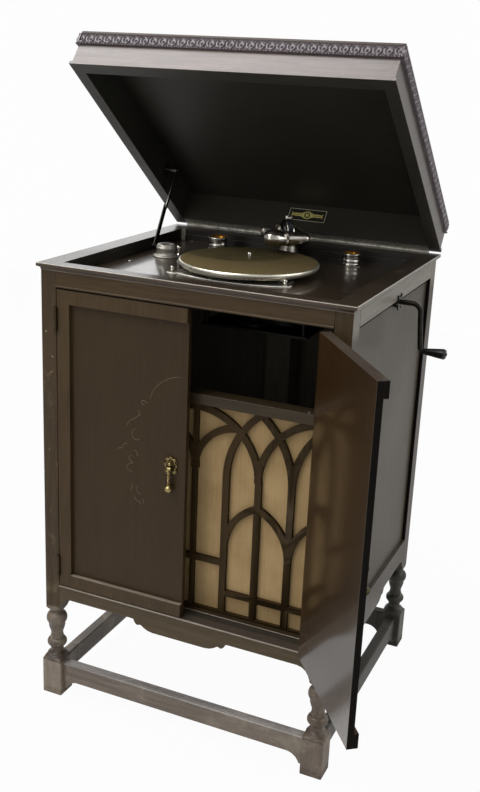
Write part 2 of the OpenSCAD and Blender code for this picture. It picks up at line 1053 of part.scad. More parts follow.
module knob(h) {
    cylinder(d = 3.4, h = h);
    translate([0, 0, h * 0.45])
        cylinder(r1 = 3.2, r2 = 1.7, h = 2);
    translate([0, 0, h])
        sphere(r = 3.8, $fn = 32);
}

module lever_arm(p, q, w, t) {
    d = q - p;
    translate([p[0], p[1], 0])
        rotate([0, 0, atan2(d[1], d[0])])
            difference() {
                union() {
                    translate([0, -w / 2, 0])
                        cube([norm(d), w, t]);
                    cylinder(d = w + 5, h = t);
                    translate([norm(d), 0, 0])
                        cylinder(d = w + 3, h = t);
                }
                translate([0, 0, -1])
                    cylinder(d = 4 + 2 * run, h = t + 2);
            }
}

brake_p = [-84, -70];
brake_q = [-107, -101];
speed_p = [86, -64];
speed_q = [104, -90.5];
stop_p = [-150, 22];
stop_q = [-146, -2];

module brake_lever() {
    color(nickel)
        place()
            translate([0, 0, deck_z + 2.3]) {
                lever_arm(brake_p, brake_q, 5, 1.6);
                translate([brake_q[0], brake_q[1], 1.5])
                    knob(5.4);
            }
}

module speed_lever() {
    color(nickel)
        place()
            translate([0, 0, deck_z + 2.3]) {
                lever_arm(speed_p, speed_q, 5, 1.6);
                translate([speed_q[0], speed_q[1], 1.5])
                    knob(5.4);
            }
}

module stop_lever() {
    color(nickel)
        place()
            translate([0, 0, deck_z + 0.3]) {
                lever_arm(stop_p, stop_q, 6, 1.8);
                translate([stop_q[0], stop_q[1], 1.7])
                    knob(24);
            }
}

module deck_screws() {
    color(brass)
        place() {
            // Motor board screws.
            for (p = [[27 - well_x, well_back - 9], [well_x - 29, well_back - 9],
                [26 - well_x, -51], [well_x - 28, -43], [26 - well_x, 40 - well_front],
                [well_x - 25, -138], [well_x - 8, -139]])
                translate([p[0], p[1], deck_z])
                    intersection() {
                        cylinder(r = 3.2, h = 2);
                        translate([0, 0, -3.2])
                            sphere(r = 4.6, $fn = 24);
                    }
            // Pivot screws of the levers.
            for (p = [[brake_p, 2], [speed_p, 2], [stop_p, 0]])
                translate([p[0][0], p[0][1], deck_z + p[1]]) {
                    cylinder(d = 4, h = 2.4);
                    translate([0, 0, 2.3])
                        cylinder(d = 6.4, h = 1.4);
                }
            // Screw in the ledge over the grille.
            translate([205, surround_y + 8, ledge_z])
                cylinder(r = 3, h = 1.4);
        }
}

// ---------- tonearm ----------
// Arm frame: pivot at the origin, arm forward along +X, head end toward +Y.

module arm_at() {
    place()
        translate([arm_x, arm_y, 0])
            rotate([0, 0, arm_yaw - 90])
                mirror([0, 1, 0])
                    children();
}

module tonearm_base() {
    color(nickel)
        place()
            translate([arm_x, arm_y, deck_z])
                rotate_extrude()
                    polygon([[11, 0], [29, 0], [29.5, 1.6], [28, 3.4], [21, 5], [19.6, 7],
                        [15.6, 21], [16.4, 22.5], [16.4, 25], [13, 26], [11, 26]]);
}

elbow_u = 98;

module tonearm_tube() {
    color(nickel)
        arm_at()
            difference() {
                union() {
                    translate([0, 0, deck_z + 26.3])
                        cylinder(r = 13.4, h = 10);
                    translate([0, 0, deck_z + 36])
                        cylinder(r = 12, h = arm_z - deck_z - 36);
                    translate([0, 0, arm_z])
                        sphere(r = 12.4);
                    translate([0, 0, arm_z])
                        rotate([0, 90, 0])
                            cylinder(r1 = 12, r2 = 10.6, h = elbow_u);
                    translate([elbow_u, 0, arm_z])
                        sphere(r = 10.9);
                    translate([elbow_u, 0, arm_z])
                        rotate([-90, 0, 0])
                            cylinder(r1 = 10.7, r2 = 12.4, h = 28);
                    translate([elbow_u, 27, arm_z])
                        rotate([-90, 0, 0])
                            cylinder(r = 13.8, h = 6);
                    // Spigot that the gooseneck turns on.
                    translate([elbow_u, 32, arm_z])
                        rotate([-90, 0, 0])
                            cylinder(r = 8, h = 14);
                    // Sleeve down into the base.
                    translate([0, 0, deck_z + 2])
                        cylinder(r = 11 - run, h = 30);
                }
                translate([0, 0, deck_z])
                    cylinder(r = 9, h = arm_z - deck_z);
                translate([0, 0, arm_z])
                    rotate([0, 90, 0])
                        cylinder(r = 7.5, h = elbow_u);
                translate([elbow_u, 0, arm_z])
                    rotate([-90, 0, 0])
                        cylinder(r = 6.5, h = 50);
            }
}

neck_y = 64;
neck_back = 60;
neck_dz = 7;
box_y = 34;
box_z = arm_z + neck_dz;

module gooseneck() {
    color(nickel)
        arm_at() {
            // Bulb with its collar, bored for the tube end.
            translate([elbow_u, 0, arm_z])
                rotate([-90, 0, 0])
                    rotate_extrude()
                        polygon([[8 + run, 33.4], [13.4, 33.4], [13.4, 39], [11.5, 39],
                            [11.5, 40], [13.4, 44], [16.4, 51], [17.4, 58], [16.8, 65], [14, 71],
                            [8, 76.4], [0, 78], [0, 48], [8 + run, 48]]);
            // Neck back to the soundbox socket.
            translate([neck_back, neck_y, arm_z + 3])
                rotate([0, 90, 0])
                    rotate([0, 0, 37])
                        cylinder(r1 = 8.3, r2 = 8.1, h = elbow_u - neck_back - 6);
            translate([neck_back, 0, box_z])
                rotate([0, 180, 0])
                    rotate([-90, 0, 0])
                        rotate_extrude()
                            polygon([[0, box_y + 0.2], [7.4, box_y + 0.2], [7.4, 38],
                                [14.6, 38], [14.6, 43], [8, 43], [8, 52], [9.6, 56], [10.2, 61],
                                [10.2, 66], [8.5, 71], [5, 74], [0, 75]]);
        }
}

module soundbox() {
    color(nickel)
        arm_at()
            translate([neck_back, box_y, box_z])
                rotate([90, 0, 0]) {
                    // Rubber-backed housing.
                    difference() {
                        rotate_extrude()
                            polygon([[0, 0], [17, 0], [18, 3], [21.5, 5], [24, 7.5], [24, 17],
                                [23, 19], [19.6, 19], [19.4, 13], [0, 13]]);
                        translate([0, 0, -1])
                            cylinder(r = 4, h = 10);
                    }
                    // Diaphragm and its boss.
                    translate([0, 0, 15])
                        cylinder(r = 19.2, h = 0.8);
                    translate([0, 0, 12.9])
                        cylinder(r = 2, h = 5.6);
                    // Needle bar and clamp with its screw.
                    rotate([0, 0, 104]) {
                        translate([0, -1.3, 17.2])
                            cube([26, 2.6, 1.8]);
                        difference() {
                            translate([23.4, 0, 11])
                                rotate([0, 90, 0])
                                    cylinder(r = 2.6, h = 5);
                            translate([22, 0, 11])
                                rotate([0, 90, 0])
                                    cylinder(r = 0.8, h = 8, $fn = 16);
                        }
                        translate([23.4, -1.3, 11])
                            cube([2.6, 2.6, 8]);
                        translate([26, 0, 12.6])
                            cylinder(r = 1.2, h = 4.4);
                        translate([26, 0, 18.6])
                            sphere(r = 3, $fn = 24);
                    }
                }
}

// ---------- crank ----------

module crank_escutcheon() {
    color(steel)
        place()
            difference() {
                union() {
                    translate([hx, crank_y, crank_z])
                        rotate([90, 0, 90]) {
                            cylinder(r = 9, h = 2.4);
                            linear_extrude(2.4)
                                polygon([[22, 0], [12, 3.6], [11, 13], [4, 7], [-4, 7], [-11, 13],
                                    [-12, 3.6], [-22, 0], [-12, -3.6], [-11, -13], [-4, -7],
                                    [4, -7], [11, -13], [12, -3.6]]);
                        }
                    intersection() {
                        translate([panel_out, crank_y, crank_z])
                            rotate([0, 90, 0])
                                cylinder(r = 11, h = panel_recess + 1);
                        box(in_x - 20, hx + 10, -40, 40, rail_z - 100, rail_z);
                    }
                }
                translate([in_x - 50, crank_y, crank_z])
                    rotate([0, 90, 0])
                        cylinder(d = crank_d + 2 * run, h = 100);
            }
}

crank_x = hx + 38.5;
grip_y = 25;
grip_z = 709;

module rod(p, q, r) {
    d = q - p;
    translate(p)
        rotate([0, acos(d[2] / norm(d)), atan2(d[1], d[0])])
            cylinder(r = r, h = norm(d));
}

module crank_shaft() {
    r = crank_d / 2;
    color(steel)
        place() {
            translate([95, crank_y, crank_z])
                rotate([0, 90, 0])
                    cylinder(r = r, h = crank_x - 95);
            translate([crank_x, crank_y, crank_z])
                sphere(r = r);
            rod([crank_x, crank_y, crank_z], [crank_x, grip_y, grip_z], r);
            translate([crank_x, grip_y, grip_z])
                sphere(r = r);
            translate([crank_x, grip_y, grip_z])
                rotate([0, 90, 0])
                    cylinder(d = 5, h = 48);
            translate([97, crank_y, crank_z])
                rotate([0, 90, 0])
                    gear(10, 8, 9);
        }
}

module crank_handle() {
    color([0.05, 0.05, 0.05])
        place()
            translate([crank_x + 4.8, grip_y, grip_z])
                rotate([0, 90, 0])
                    difference() {
                        union() {
                            cylinder(r1 = 4.8, r2 = 9.2, h = 38);
                            translate([0, 0, 38])
                                cylinder(r1 = 9.2, r2 = 7.6, h = 3.4);
                        }
                        translate([0, 0, -1])
                            cylinder(d = 5 + 2 * run, h = 50);
                    }
}

// ---------- spring motor ----------

barrel_x = 75;
barrel_y = 0;
wheel_x = 26.9;
wheel_y = -29.5;
gov_y = 10.6;
gov_z = 747;

module motor_frame() {
    bore = 8 + 2 * run;
    color(steel)
        place()
            difference() {
                union() {
                    box(-68, 136, -58, 52, 778, 782);
                    box(-68, 136, -58, 52, 720, 724);
                    for (x = [-60, 128])
                        for (y = [-50, 44])
                            translate([x, y, 723])
                                cylinder(r = 4, h = deck_z - deck_t - 723);
                    // Bearing of the crank shaft.
                    box(118, 128, -8, 8, 781, 804);
                    // Governor bearings.
                    box(-66, -60, gov_y - 5, gov_y + 5, 739, 779);
                    box(12, 17, gov_y - 5, gov_y + 5, 739, 779);
                }
                translate([100, crank_y, crank_z])
                    rotate([0, 90, 0])
                        cylinder(d = crank_d + 2 * run, h = 40);
                translate([plat_x, plat_y, 700])
                    cylinder(d = shaft_d + 2 * run, h = 100);
                translate([barrel_x, barrel_y, 700])
                    cylinder(d = bore, h = 100);
                translate([wheel_x, wheel_y, 700])
                    cylinder(d = 5 + 2 * run, h = 100);
                translate([-80, gov_y, gov_z])
                    rotate([0, 90, 0])
                        cylinder(d = 4 + 2 * run, h = 120);
            }
}

module spring_barrel() {
    color(brass)
        place()
            translate([barrel_x, barrel_y, 735])
                difference() {
                    union() {
                        gear(84, 48, 5);
                        cylinder(r = 45, h = 38, $fn = 96);
                    }
                    translate([0, 0, 3])
                        cylinder(r = 43, h = 32, $fn = 96);
                    translate([0, 0, -1])
                        cylinder(d = 8 + 2 * run, h = 60);
                }
}

turns = 9;
function spiral(r0, pitch, t, n) = concat(
    [for (i = [0:n]) let (a = 360 * turns * i / n, r = r0 + pitch * a / 360)
        [r * cos(a), r * sin(a)]],
    [for (i = [0:n]) let (a = 360 * turns * (n - i) / n, r = r0 + t + pitch * a / 360)
        [r * cos(a), r * sin(a)]]);

module mainspring() {
    color(steel)
        place()
            translate([barrel_x, barrel_y, 740])
                linear_extrude(26)
                    polygon(spiral(6.8, (42.7 - 8) / turns, 1.2, turns * 24));
}

module winding_wheel() {
    color(steel)
        place()
            translate([barrel_x, barrel_y, 0]) {
                translate([0, 0, 718])
                    cylinder(d = 8, h = 70);
                translate([0, 0, 783])
                    gear(48, 33, 5.4);
                translate([0, 0, 738.6])
                    cylinder(r = 6.5, h = 30);
            }
}

module drive_wheel() {
    color(brass)
        place()
            translate([wheel_x, wheel_y, 0]) {
                translate([0, 0, 718])
                    cylinder(d = 5, h = 64);
                translate([0, 0, 727.5])
                    gear(48, 26, 4.5);
                translate([0, 0, 733])
                    gear(12, 8, 9);
            }
}

module governor() {
    color(brass)
        place()
            translate([0, gov_y, gov_z]) {
                translate([-68, 0, 0])
                    rotate([0, 90, 0])
                        cylinder(d = 4, h = 87);
                translate([-6, 0, 0])
                    rotate([0, 90, 0])
                        cylinder(r = 4.2, h = 14);
                for (x = [-56, -16])
                    translate([x, 0, 0])
                        rotate([0, 90, 0])
                            cylinder(r = 6, h = 5);
                translate([-24, 0, 0])
                    rotate([0, 90, 0])
                        cylinder(r = 13, h = 1.6);
                for (a = [0, 120, 240])
                    rotate([a, 0, 0]) {
                        translate([-56, -3, 5])
                            cube([45, 6, 0.8]);
                        translate([-39, 0, 9.4])
                            sphere(r = 4.6, $fn = 24);
                    }
            }
}

// ---------- assembly ----------

front_legs();
back_legs();
long_stretchers();
side_stretchers();
front_top_rail();
front_apron();
side_rails();
back_rails();
side_panels();
back_panel();
bottom_board();
top_rim();
motor_board();
grille_surround();
fretwork_grille();
grille_cloth();
wooden_horn();
left_door_panel();
left_door_frame();
right_door_panel();
right_door_frame();
case_hinge_leaves();
left_hinge_leaves();
right_hinge_leaves();
left_pull_plate();
left_pull_drop();
right_pull_plate();
right_pull_drop();
lid_frame();
lid_panel();
lid_carved_band();
lid_label_plate();
lid_hinge_lower_leaf();
lid_hinge_upper_leaf();
stay_foot();
stay_lower_link();
stay_upper_link();
stay_lid_bracket();
platter();
platter_felt();
spindle();
needle_cups();
speed_plate();
speed_lever();
brake_lever();
stop_lever();
deck_screws();
tonearm_base();
tonearm_tube();
gooseneck();
soundbox();
crank_escutcheon();
crank_shaft();
crank_handle();
motor_frame();
spring_barrel();
mainspring();
winding_wheel();
drive_wheel();
governor();
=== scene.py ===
import json
import math
import bpy
import bmesh
import numpy as np
from mathutils import Matrix, Vector

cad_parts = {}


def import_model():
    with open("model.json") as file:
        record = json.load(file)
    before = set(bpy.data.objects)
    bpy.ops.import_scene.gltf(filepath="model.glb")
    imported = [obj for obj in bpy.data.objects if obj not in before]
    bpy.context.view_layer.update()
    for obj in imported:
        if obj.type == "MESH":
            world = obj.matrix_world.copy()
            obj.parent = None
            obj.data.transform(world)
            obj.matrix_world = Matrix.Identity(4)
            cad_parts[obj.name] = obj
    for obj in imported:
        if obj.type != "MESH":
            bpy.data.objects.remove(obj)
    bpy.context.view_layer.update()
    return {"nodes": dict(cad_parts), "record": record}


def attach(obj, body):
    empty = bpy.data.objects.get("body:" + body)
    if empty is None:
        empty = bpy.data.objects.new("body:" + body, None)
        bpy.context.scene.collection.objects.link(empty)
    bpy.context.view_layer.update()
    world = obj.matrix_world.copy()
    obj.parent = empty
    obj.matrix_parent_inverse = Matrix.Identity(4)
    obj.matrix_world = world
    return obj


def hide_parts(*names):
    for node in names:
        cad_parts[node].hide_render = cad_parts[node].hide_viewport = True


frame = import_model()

NODES = frame["nodes"]
BODY = {n: b for b, ns in frame["record"]["behaviour"]["bodies"].items() for n in ns}
T, R = Matrix.Translation, Matrix.Rotation
rad = math.radians

# Shapes are drawn in millimetres in one of four frames, placed in metres: the case with its middle at
# x = y = 0, the open lid and the open right door on their hinges, and the tonearm on its pivot.
CAB_X, CAB_Y = -0.059, 0.080
LID_OPEN, DOOR_OPEN, ARM_YAW = 37.9, 127.7, -52
CASE = T((CAB_X, CAB_Y, 0))
LID = CASE @ T((0, 0.2602, 0.841)) @ R(rad(-LID_OPEN), 4, "X")
RDOOR = CASE @ T((0.2494, -0.2552, 0)) @ R(rad(DOOR_OPEN), 4, "Z")
ARM = CASE @ T((0.002, 0.180, 0)) @ R(rad(ARM_YAW), 4, "Z")

# Places in the case, in millimetres.
DECK_Z = 817.0
PLATTER_X, PLATTER_Y, FELT_Z = 0.0, -8.0, 838.5
ARM_X, ARM_Y, ARM_Z = 2, 180, 868.0
HEAD_X, HEAD_Y, HEAD_Z = 60, -34, ARM_Z + 7
CRANK_Z = 797
GRIP_Y, GRIP_Z = 25, 709


# ---------------------------------------------------------------- materials
class Tree:
    """Writes the shader nodes of a material or a world."""

    def __init__(self, block):
        self.block = block
        block.use_nodes = True
        self.t = block.node_tree
        self.t.nodes.clear()

    def put(self, socket, value):
        if isinstance(value, bpy.types.NodeSocket):
            self.t.links.new(value, socket)
        else:
            socket.default_value = value

    def n(self, kind, out=0, props=None, **ins):
        """A node with its inputs given by name, or by number as i0, i1 and so on; returns one output."""
        node = self.t.nodes.new(kind)
        for k, v in (props or {}).items():
            setattr(node, k, v)
        for k, v in ins.items():
            numbered = k[0] == "i" and k[1:].isdigit()
            self.put(node.inputs[int(k[1:]) if numbered else k.replace("_", " ")], v)
        return node.outputs[out]

    def math(self, op, a, b=0.0, c=0.0):
        return self.n("ShaderNodeMath", props={"operation": op}, i0=a, i1=b, i2=c)

    def mix(self, f, a, b):
        # Inputs 6 and 7 and output 2 are the colour ones.
        return self.n("ShaderNodeMix", out=2, props={"data_type": "RGBA"}, i0=f, i6=a, i7=b)

    def ramp(self, f, stops):
        """An eased ramp; a stop's colour is a grey level or three numbers."""
        node = self.t.nodes.new("ShaderNodeValToRGB")
        node.color_ramp.interpolation = "EASE"
        el = node.color_ramp.elements
        while len(el) < len(stops):
            el.new(0.5)
        for e, (p, c) in zip(el, stops):
            e.position = p
            e.color = (c, c, c, 1) if isinstance(c, (int, float)) else (*c[:3], 1)
        self.t.links.new(f, node.inputs[0])
        return node.outputs[0]

    def coords(self, scale=(1, 1, 1)):
        """Object coordinates, which for these pieces are metres in their own frame."""
        tc = self.n("ShaderNodeTexCoord", out=3)
        return self.n("ShaderNodeMapping", Vector=tc, Scale=scale)

    def xyz(self, vector):
        return self.n("ShaderNodeSeparateXYZ", Vector=vector).node.outputs

    def noise(self, vec, scale, detail, rough, dist=0.0):
        return self.n("ShaderNodeTexNoise", Vector=vec, Scale=scale, Detail=detail, Roughness=rough,
                      Distortion=dist)

    def bump(self, h, strength, dist):
        return self.n("ShaderNodeBump", Height=h, Strength=strength, Distance=dist)

    def end(self, kind, shader):
        node = self.t.nodes.new(kind)
        self.t.links.new(shader, node.inputs[0])
        return self.block

    def done(self, color, rough, metallic, normal, coat=0.0, coat_rough=0.1, spec=0.5, coat_ior=1.5):
        """Ends a material; normal may be None."""
        ins = {"Base Color": color, "Roughness": rough, "Metallic": metallic, "Coat Weight": coat,
               "Coat Roughness": coat_rough, "Specular IOR Level": spec, "Coat IOR": coat_ior}
        if normal is not None:
            ins["Normal"] = normal
        return self.end("ShaderNodeOutputMaterial", self.n("ShaderNodeBsdfPrincipled", **ins))


def lin(h):
    """A colour written as #rrggbb, in linear light."""
    v = [int(h[i:i + 2], 16) / 255 for i in (1, 3, 5)]
    return tuple(c / 12.92 if c < 0.04045 else ((c + 0.055) / 1.055) ** 2.4 for c in v)


def rgba(h):
    return (*lin(h), 1)


GRAIN = {"x": (6, 90, 90), "y": (90, 6, 90), "z": (90, 90, 6)}
SPECK = "#b3a790"


def wood(name, light, dark, grain, rough, coat, coat_rough, worn=None, bump=0.25, spec=0.5, specks=0.0,
         fade=None, coat_ior=1.5):
    """Varnished wood: grain streaks between two colours, pores and slow patches.

    worn is how much is worn and its colour, specks how strong the pale specks are, and fade two heights
    in metres and the colour that is reached at the first of them.
    """
    t = Tree(bpy.data.materials.new(name))
    g = t.coords(GRAIN[grain])
    c = t.coords()
    streak = t.noise(g, 1.6, 5, 0.62, 0.6)
    fine = t.noise(g, 7.0, 3, 0.7)
    patch = t.noise(c, 4.0, 2, 0.5)
    f = t.math("MULTIPLY_ADD", fine, 0.35, t.math("MULTIPLY", streak, 0.75))
    f = t.math("MULTIPLY_ADD", patch, 0.35, t.math("SUBTRACT", f, 0.22))
    col = t.ramp(f, [(0.28, lin(dark)), (0.72, lin(light))])
    r = t.math("MULTIPLY_ADD", patch, 0.22, rough - 0.10)
    if worn:
        amount, hue = worn
        w = t.noise(t.coords(), 28.0, 6, 0.72, 0.4)
        w2 = t.noise(t.coords(), 6.0, 3, 0.6)
        m = t.ramp(t.math("MULTIPLY_ADD", w2, 0.5, t.math("MULTIPLY", w, 0.6)),
                   [(0.62 - 0.25 * amount, 0.0), (0.78 - 0.18 * amount, 1.0)])
        m = t.math("MULTIPLY", m, min(1.0, amount + 0.25))
        col = t.mix(m, col, rgba(hue))
        r = t.math("MULTIPLY_ADD", m, 0.3, r)
    if specks:
        sp = t.ramp(t.noise(t.coords(), 95.0, 2, 0.5), [(0.70, 0.0), (0.76, 1.0)])
        col = t.mix(t.math("MULTIPLY", sp, specks), col, rgba(SPECK))
    if fade:
        z = t.xyz(t.coords())[2]
        z0, z1, hue = fade
        f = t.ramp(t.math("MULTIPLY_ADD", z, 1 / (z1 - z0), -z0 / (z1 - z0)), [(0.0, 1.0), (1.0, 0.0)])
        col = t.mix(f, col, rgba(hue))
    nrm = t.bump(t.math("ADD", fine, t.math("MULTIPLY", streak, 0.6)), bump, 0.0004)
    return t.done(col, r, 0.0, nrm, coat, coat_rough, spec, coat_ior)


def metal(name, col, rough, spot, amount, scale, bump=0.0, metallic=1.0):
    """Metal or paint of one colour, with spots of another mixed in by an amount."""
    t = Tree(bpy.data.materials.new(name))
    n = t.noise(t.coords(), scale, 5, 0.65)
    color = t.mix(t.ramp(n, [(0.45, 0.0), (0.72, 1.0)]), rgba(col), rgba(spot))
    color = t.mix(amount, rgba(col), color)
    r = t.math("MULTIPLY_ADD", n, 0.22, rough - 0.08)
    return t.done(color, r, metallic, t.bump(n, bump, 0.0006) if bump else None)


# Light and dark colour, run of the grain, roughness, coat, the coat's roughness, and what else differs.
WOODS = {
    "front": ("#473926", "#3a2c1b", "z", 0.42, 0.03, 0.3, dict(bump=0.15, spec=0.17)),
    "front_x": ("#473926", "#3a2c1b", "x", 0.40, 0.04, 0.3, dict(bump=0.15, spec=0.17)),
    "panel": ("#3a2d1b", "#342718", "z", 0.45, 0.03, 0.3, dict(bump=0.12, spec=0.16)),
    "front_line": ("#54462f", "#483a26", "z", 0.35, 0.1, 0.2, {}),
    "side": ("#40382a", "#2f291e", "z", 0.40, 0.0, 0.24, dict(spec=0.36, worn=(0.1, "#5d5a4c"))),
    "side_y": ("#3f372b", "#2f281f", "y", 0.38, 0.0, 0.24, dict(spec=0.36)),
    # Pale grey for the band along the top of each side: painted sheen.
    "side_rail": ("#77736a", "#67635a", "y", 0.38, 0.0, 0.24, dict(spec=0.36)),
    # The posts' outer sides: like the side boards, fading to a pale grey at the top as painted sheen.
    "side_post_sheen": ("#41382c", "#302920", "z", 0.40, 0.0, 0.24,
                  dict(spec=0.36, fade=(0.802, 0.772, "#6d6960"))),
    "post": ("#463826", "#35291a", "z", 0.42, 0.03, 0.3, dict(worn=(0.12, "#857860"), spec=0.2, specks=0.5)),
    "leg": ("#54473a", "#3a3026", "z", 0.42, 0.15, 0.25, dict(worn=(0.28, "#8b8071"), spec=0.35, specks=0.3)),
    # The back right leg is darker: painted shade.
    "leg_shaded": ("#302e24", "#23221a", "z", 0.42, 0.15, 0.25,
                 dict(worn=(0.28, "#5a584e"), spec=0.3, specks=0.3)),
    "foot": ("#84766a", "#665a4d", "z", 0.46, 0.1, 0.3, dict(worn=(0.4, "#978c7d"), spec=0.35, specks=0.3)),
    "foot_mid": ("#64584d", "#4b4137", "z", 0.46, 0.1, 0.3, dict(worn=(0.35, "#8d8375"), spec=0.3)),
    # Darker feet and stretcher at the back: painted shade.
    "back_shaded": ("#423f37", "#2f2d27", "z", 0.46, 0.05, 0.3, dict(worn=(0.2, "#6a665b"), spec=0.25)),
    "stretcher": ("#6d6257", "#544a40", "x", 0.42, 0.15, 0.25,
                  dict(worn=(0.3, "#8f8475"), spec=0.35, specks=0.3)),
    "stretcher_y": ("#52473b", "#3c332a", "y", 0.42, 0.15, 0.25,
                    dict(worn=(0.3, "#8f8475"), spec=0.35, specks=0.3)),
    # The right side stretcher is darker: painted shade.
    "stretcher_shaded": ("#35332b", "#272620", "y", 0.46, 0.05, 0.3, dict(worn=(0.2, "#77736a"), spec=0.3)),
    # Lighter tops of the long stretchers: painted highlight.
    "stretcher_top_lit": ("#8a8480", "#6c6763", "x", 0.4, 0.2, 0.25, dict(worn=(0.3, "#a39c94"), spec=0.4)),
    "rim": ("#43362a", "#32271d", "x", 0.36, 0.2, 0.2, dict(worn=(0.1, "#7d715f"), spec=0.4)),
    "rim_top": ("#2e251b", "#221b14", "x", 0.36, 0.3, 0.14, dict(worn=(0.12, "#7d715f"), spec=0.3)),
    "rim_in": ("#201c16", "#171410", "x", 0.4, 0.1, 0.2, dict(spec=0.3)),
    "door_top": ("#3a3027", "#2a231c", "x", 0.5, 0.0, 0.2, dict(worn=(0.1, "#8d8578"), spec=0.2)),
    "door_in": ("#32220f", "#271809", "z", 0.38, 1.0, 0.12, dict(bump=0.1, spec=0.15, coat_ior=1.62)),
    # Near black: the doors' free edges, and painted shade on the back posts' front faces and under the side
    # rails.
    "dark_edge_and_shade": ("#14110d", "#0f0d0a", "z", 0.55, 0.0, 0.2, dict(spec=0.05)),
    # Pale colour for ledges: painted highlight.
    "ledge": ("#84786a", "#6a5f52", "x", 0.4, 0.2, 0.2, dict(spec=0.4)),
    "sill_top": ("#473f37", "#3a332d", "x", 0.4, 0.1, 0.2, dict(spec=0.3)),
    "apron": ("#504431", "#423626", "x", 0.40, 0.04, 0.3, dict(bump=0.15, spec=0.2)),
    "lid": ("#5c4c45", "#3c302b", "x", 0.38, 0.42, 0.28, dict(bump=0.6)),
    "lid_top": ("#4a3f39", "#3a302c", "x", 0.45, 0.0, 0.4, dict(spec=0.22)),
    "lid_y": ("#4c433c", "#3c342e", "y", 0.36, 0.5, 0.26, {}),
    "lid_band": ("#60565a", "#484145", "x", 0.42, 0.3, 0.3, dict(spec=0.45)),
    "lid_in": ("#2b2a24", "#201f1a", "x", 0.5, 0.12, 0.36,
               dict(bump=0.1, spec=0.32, fade=(0.86, 1.03, "#312d26"))),
    "deck": ("#33291f", "#231c15", "x", 0.27, 0.5, 0.09, dict(spec=0.46)),
    "inside": ("#8f8676", "#7a7162", "z", 0.6, 0.0, 0.16, dict(spec=0.25)),
    "outside": ("#3a342c", "#2a251f", "z", 0.6, 0.0, 0.16, dict(spec=0.25)),
    "fret": ("#3f311c", "#302413", "z", 0.5, 0.0, 0.25, dict(spec=0.1)),
    "surround": ("#3d3221", "#2d2418", "x", 0.42, 0.05, 0.25, dict(spec=0.25)),
    # Pale strips on the rim's edges and in the well's back corner: painted highlights.
    "edge_highlight": ("#a39b8d", "#7f766a", "z", 0.3, 0.5, 0.1, {}),
}
# Colour, roughness, colour of the spots, their amount and scale, bump, metallic.
METALS = {
    "nickel": ("#cfcbc2", 0.18, "#958b78", 0.55, 55),
    "nickel_worn": ("#c9c3b4", 0.26, "#7d7058", 0.8, 90, 0.1),
    "nickel_dull": ("#a8a399", 0.32, "#6a6354", 0.8, 70, 0.15),
    "nickel_soft": ("#d6d3c8", 0.26, "#a69d8a", 0.5, 60, 0.05, 0.92),
    "nickel_rim": ("#e2dccb", 0.26, "#b3aa92", 0.25, 40, 0.0, 0.88),
    # Near white and mostly not metal, for the speed plate's bead: nickel, partly a painted highlight.
    "nickel_edge_highlight": ("#f6f2e6", 0.3, "#c9c0a8", 0.4, 90, 0.0, 0.35),
    "nickel_matt": ("#a8a49b", 0.40, "#7a7466", 0.6, 60, 0.1, 0.75),
    "nickel_screw": ("#dcd8cf", 0.34, "#a7a196", 0.3, 150, 0.2),
    "brass_aged": ("#a39266", 0.28, "#4a3f26", 0.95, 150, 0.35),
    # Dark brass for the right pull's bulb: painted shade.
    "brass_shaded": ("#4c442f", 0.42, "#242016", 0.8, 150, 0.4),
    "brass_dark": ("#5c5036", 0.4, "#2c2618", 0.9, 150, 0.3),
    "hinge_bronze": ("#4a4030", 0.42, "#2e271c", 0.8, 120, 0.2),
    "hinge_nickel": ("#b9b6ae", 0.34, "#6b675e", 0.8, 140, 0.1, 0.8),
    "cup_amber": ("#c98a2c", 0.22, "#7a3d12", 0.8, 160, 0.0, 0.8),
    "steel_dark": ("#33312d", 0.34, "#1d1b18", 0.6, 60, 0.1),
    "steel_mid": ("#6d6b66", 0.3, "#3a3833", 0.7, 80, 0.1),
    "motor_dark": ("#1d1b18", 0.5, "#11100e", 0.6, 60, 0.1, 0.6),
    "enamel_dark": ("#26282c", 0.25, "#1a1b1d", 0.4, 30, 0.0, 0.2),
    "lacquer_black": ("#0d0c0c", 0.30, "#1a1817", 0.3, 30, 0.0, 0.0),
    "gold_paint": ("#d9cf7c", 0.5, "#9a8a48", 0.5, 220, 0.0, 0.15),
    "gold_line": ("#dcd8be", 0.5, "#a8a07c", 0.4, 220, 0.0, 0.15),
    "plate_dark": ("#1d1a13", 0.4, "#15130e", 0.5, 60, 0.0, 0.1),
}
M = {key: wood("wood_" + key, *row[:-1], **row[-1]) for key, row in WOODS.items()}
M.update({key: metal(key, *row) for key, row in METALS.items()})


def felt_mat():
    """Olive felt, paler and browner where the edge is worn, with turned streaks."""
    t = Tree(bpy.data.materials.new("felt_olive"))
    c = t.coords()
    middle = (-CAB_X - PLATTER_X / 1000, -CAB_Y - PLATTER_Y / 1000, 0.0)
    x, y, _ = t.xyz(t.n("ShaderNodeMapping", Vector=c, Location=middle))
    r = t.math("SQRT", t.math("ADD", t.math("MULTIPLY", x, x), t.math("MULTIPLY", y, y)))
    fine = t.noise(c, 900, 3, 0.8)
    soft = t.noise(c, 16, 4, 0.6)
    turned = t.noise(t.n("ShaderNodeCombineXYZ", X=r), 160, 2, 0.5)
    edge_worn = t.ramp(t.math("MULTIPLY_ADD", soft, 0.02, r), [(0.112, 0.0), (0.134, 1.0)])
    col = t.ramp(t.math("MULTIPLY_ADD", turned, 0.35, t.math("MULTIPLY", soft, 0.65)),
                 [(0.3, lin("#39321f")), (0.7, lin("#4a4129"))])
    col = t.mix(t.math("MULTIPLY", edge_worn, 0.6), col, rgba("#65573a"))
    return t.done(col, 0.95, 0.0, t.bump(fine, 0.6, 0.0004), spec=0.08)


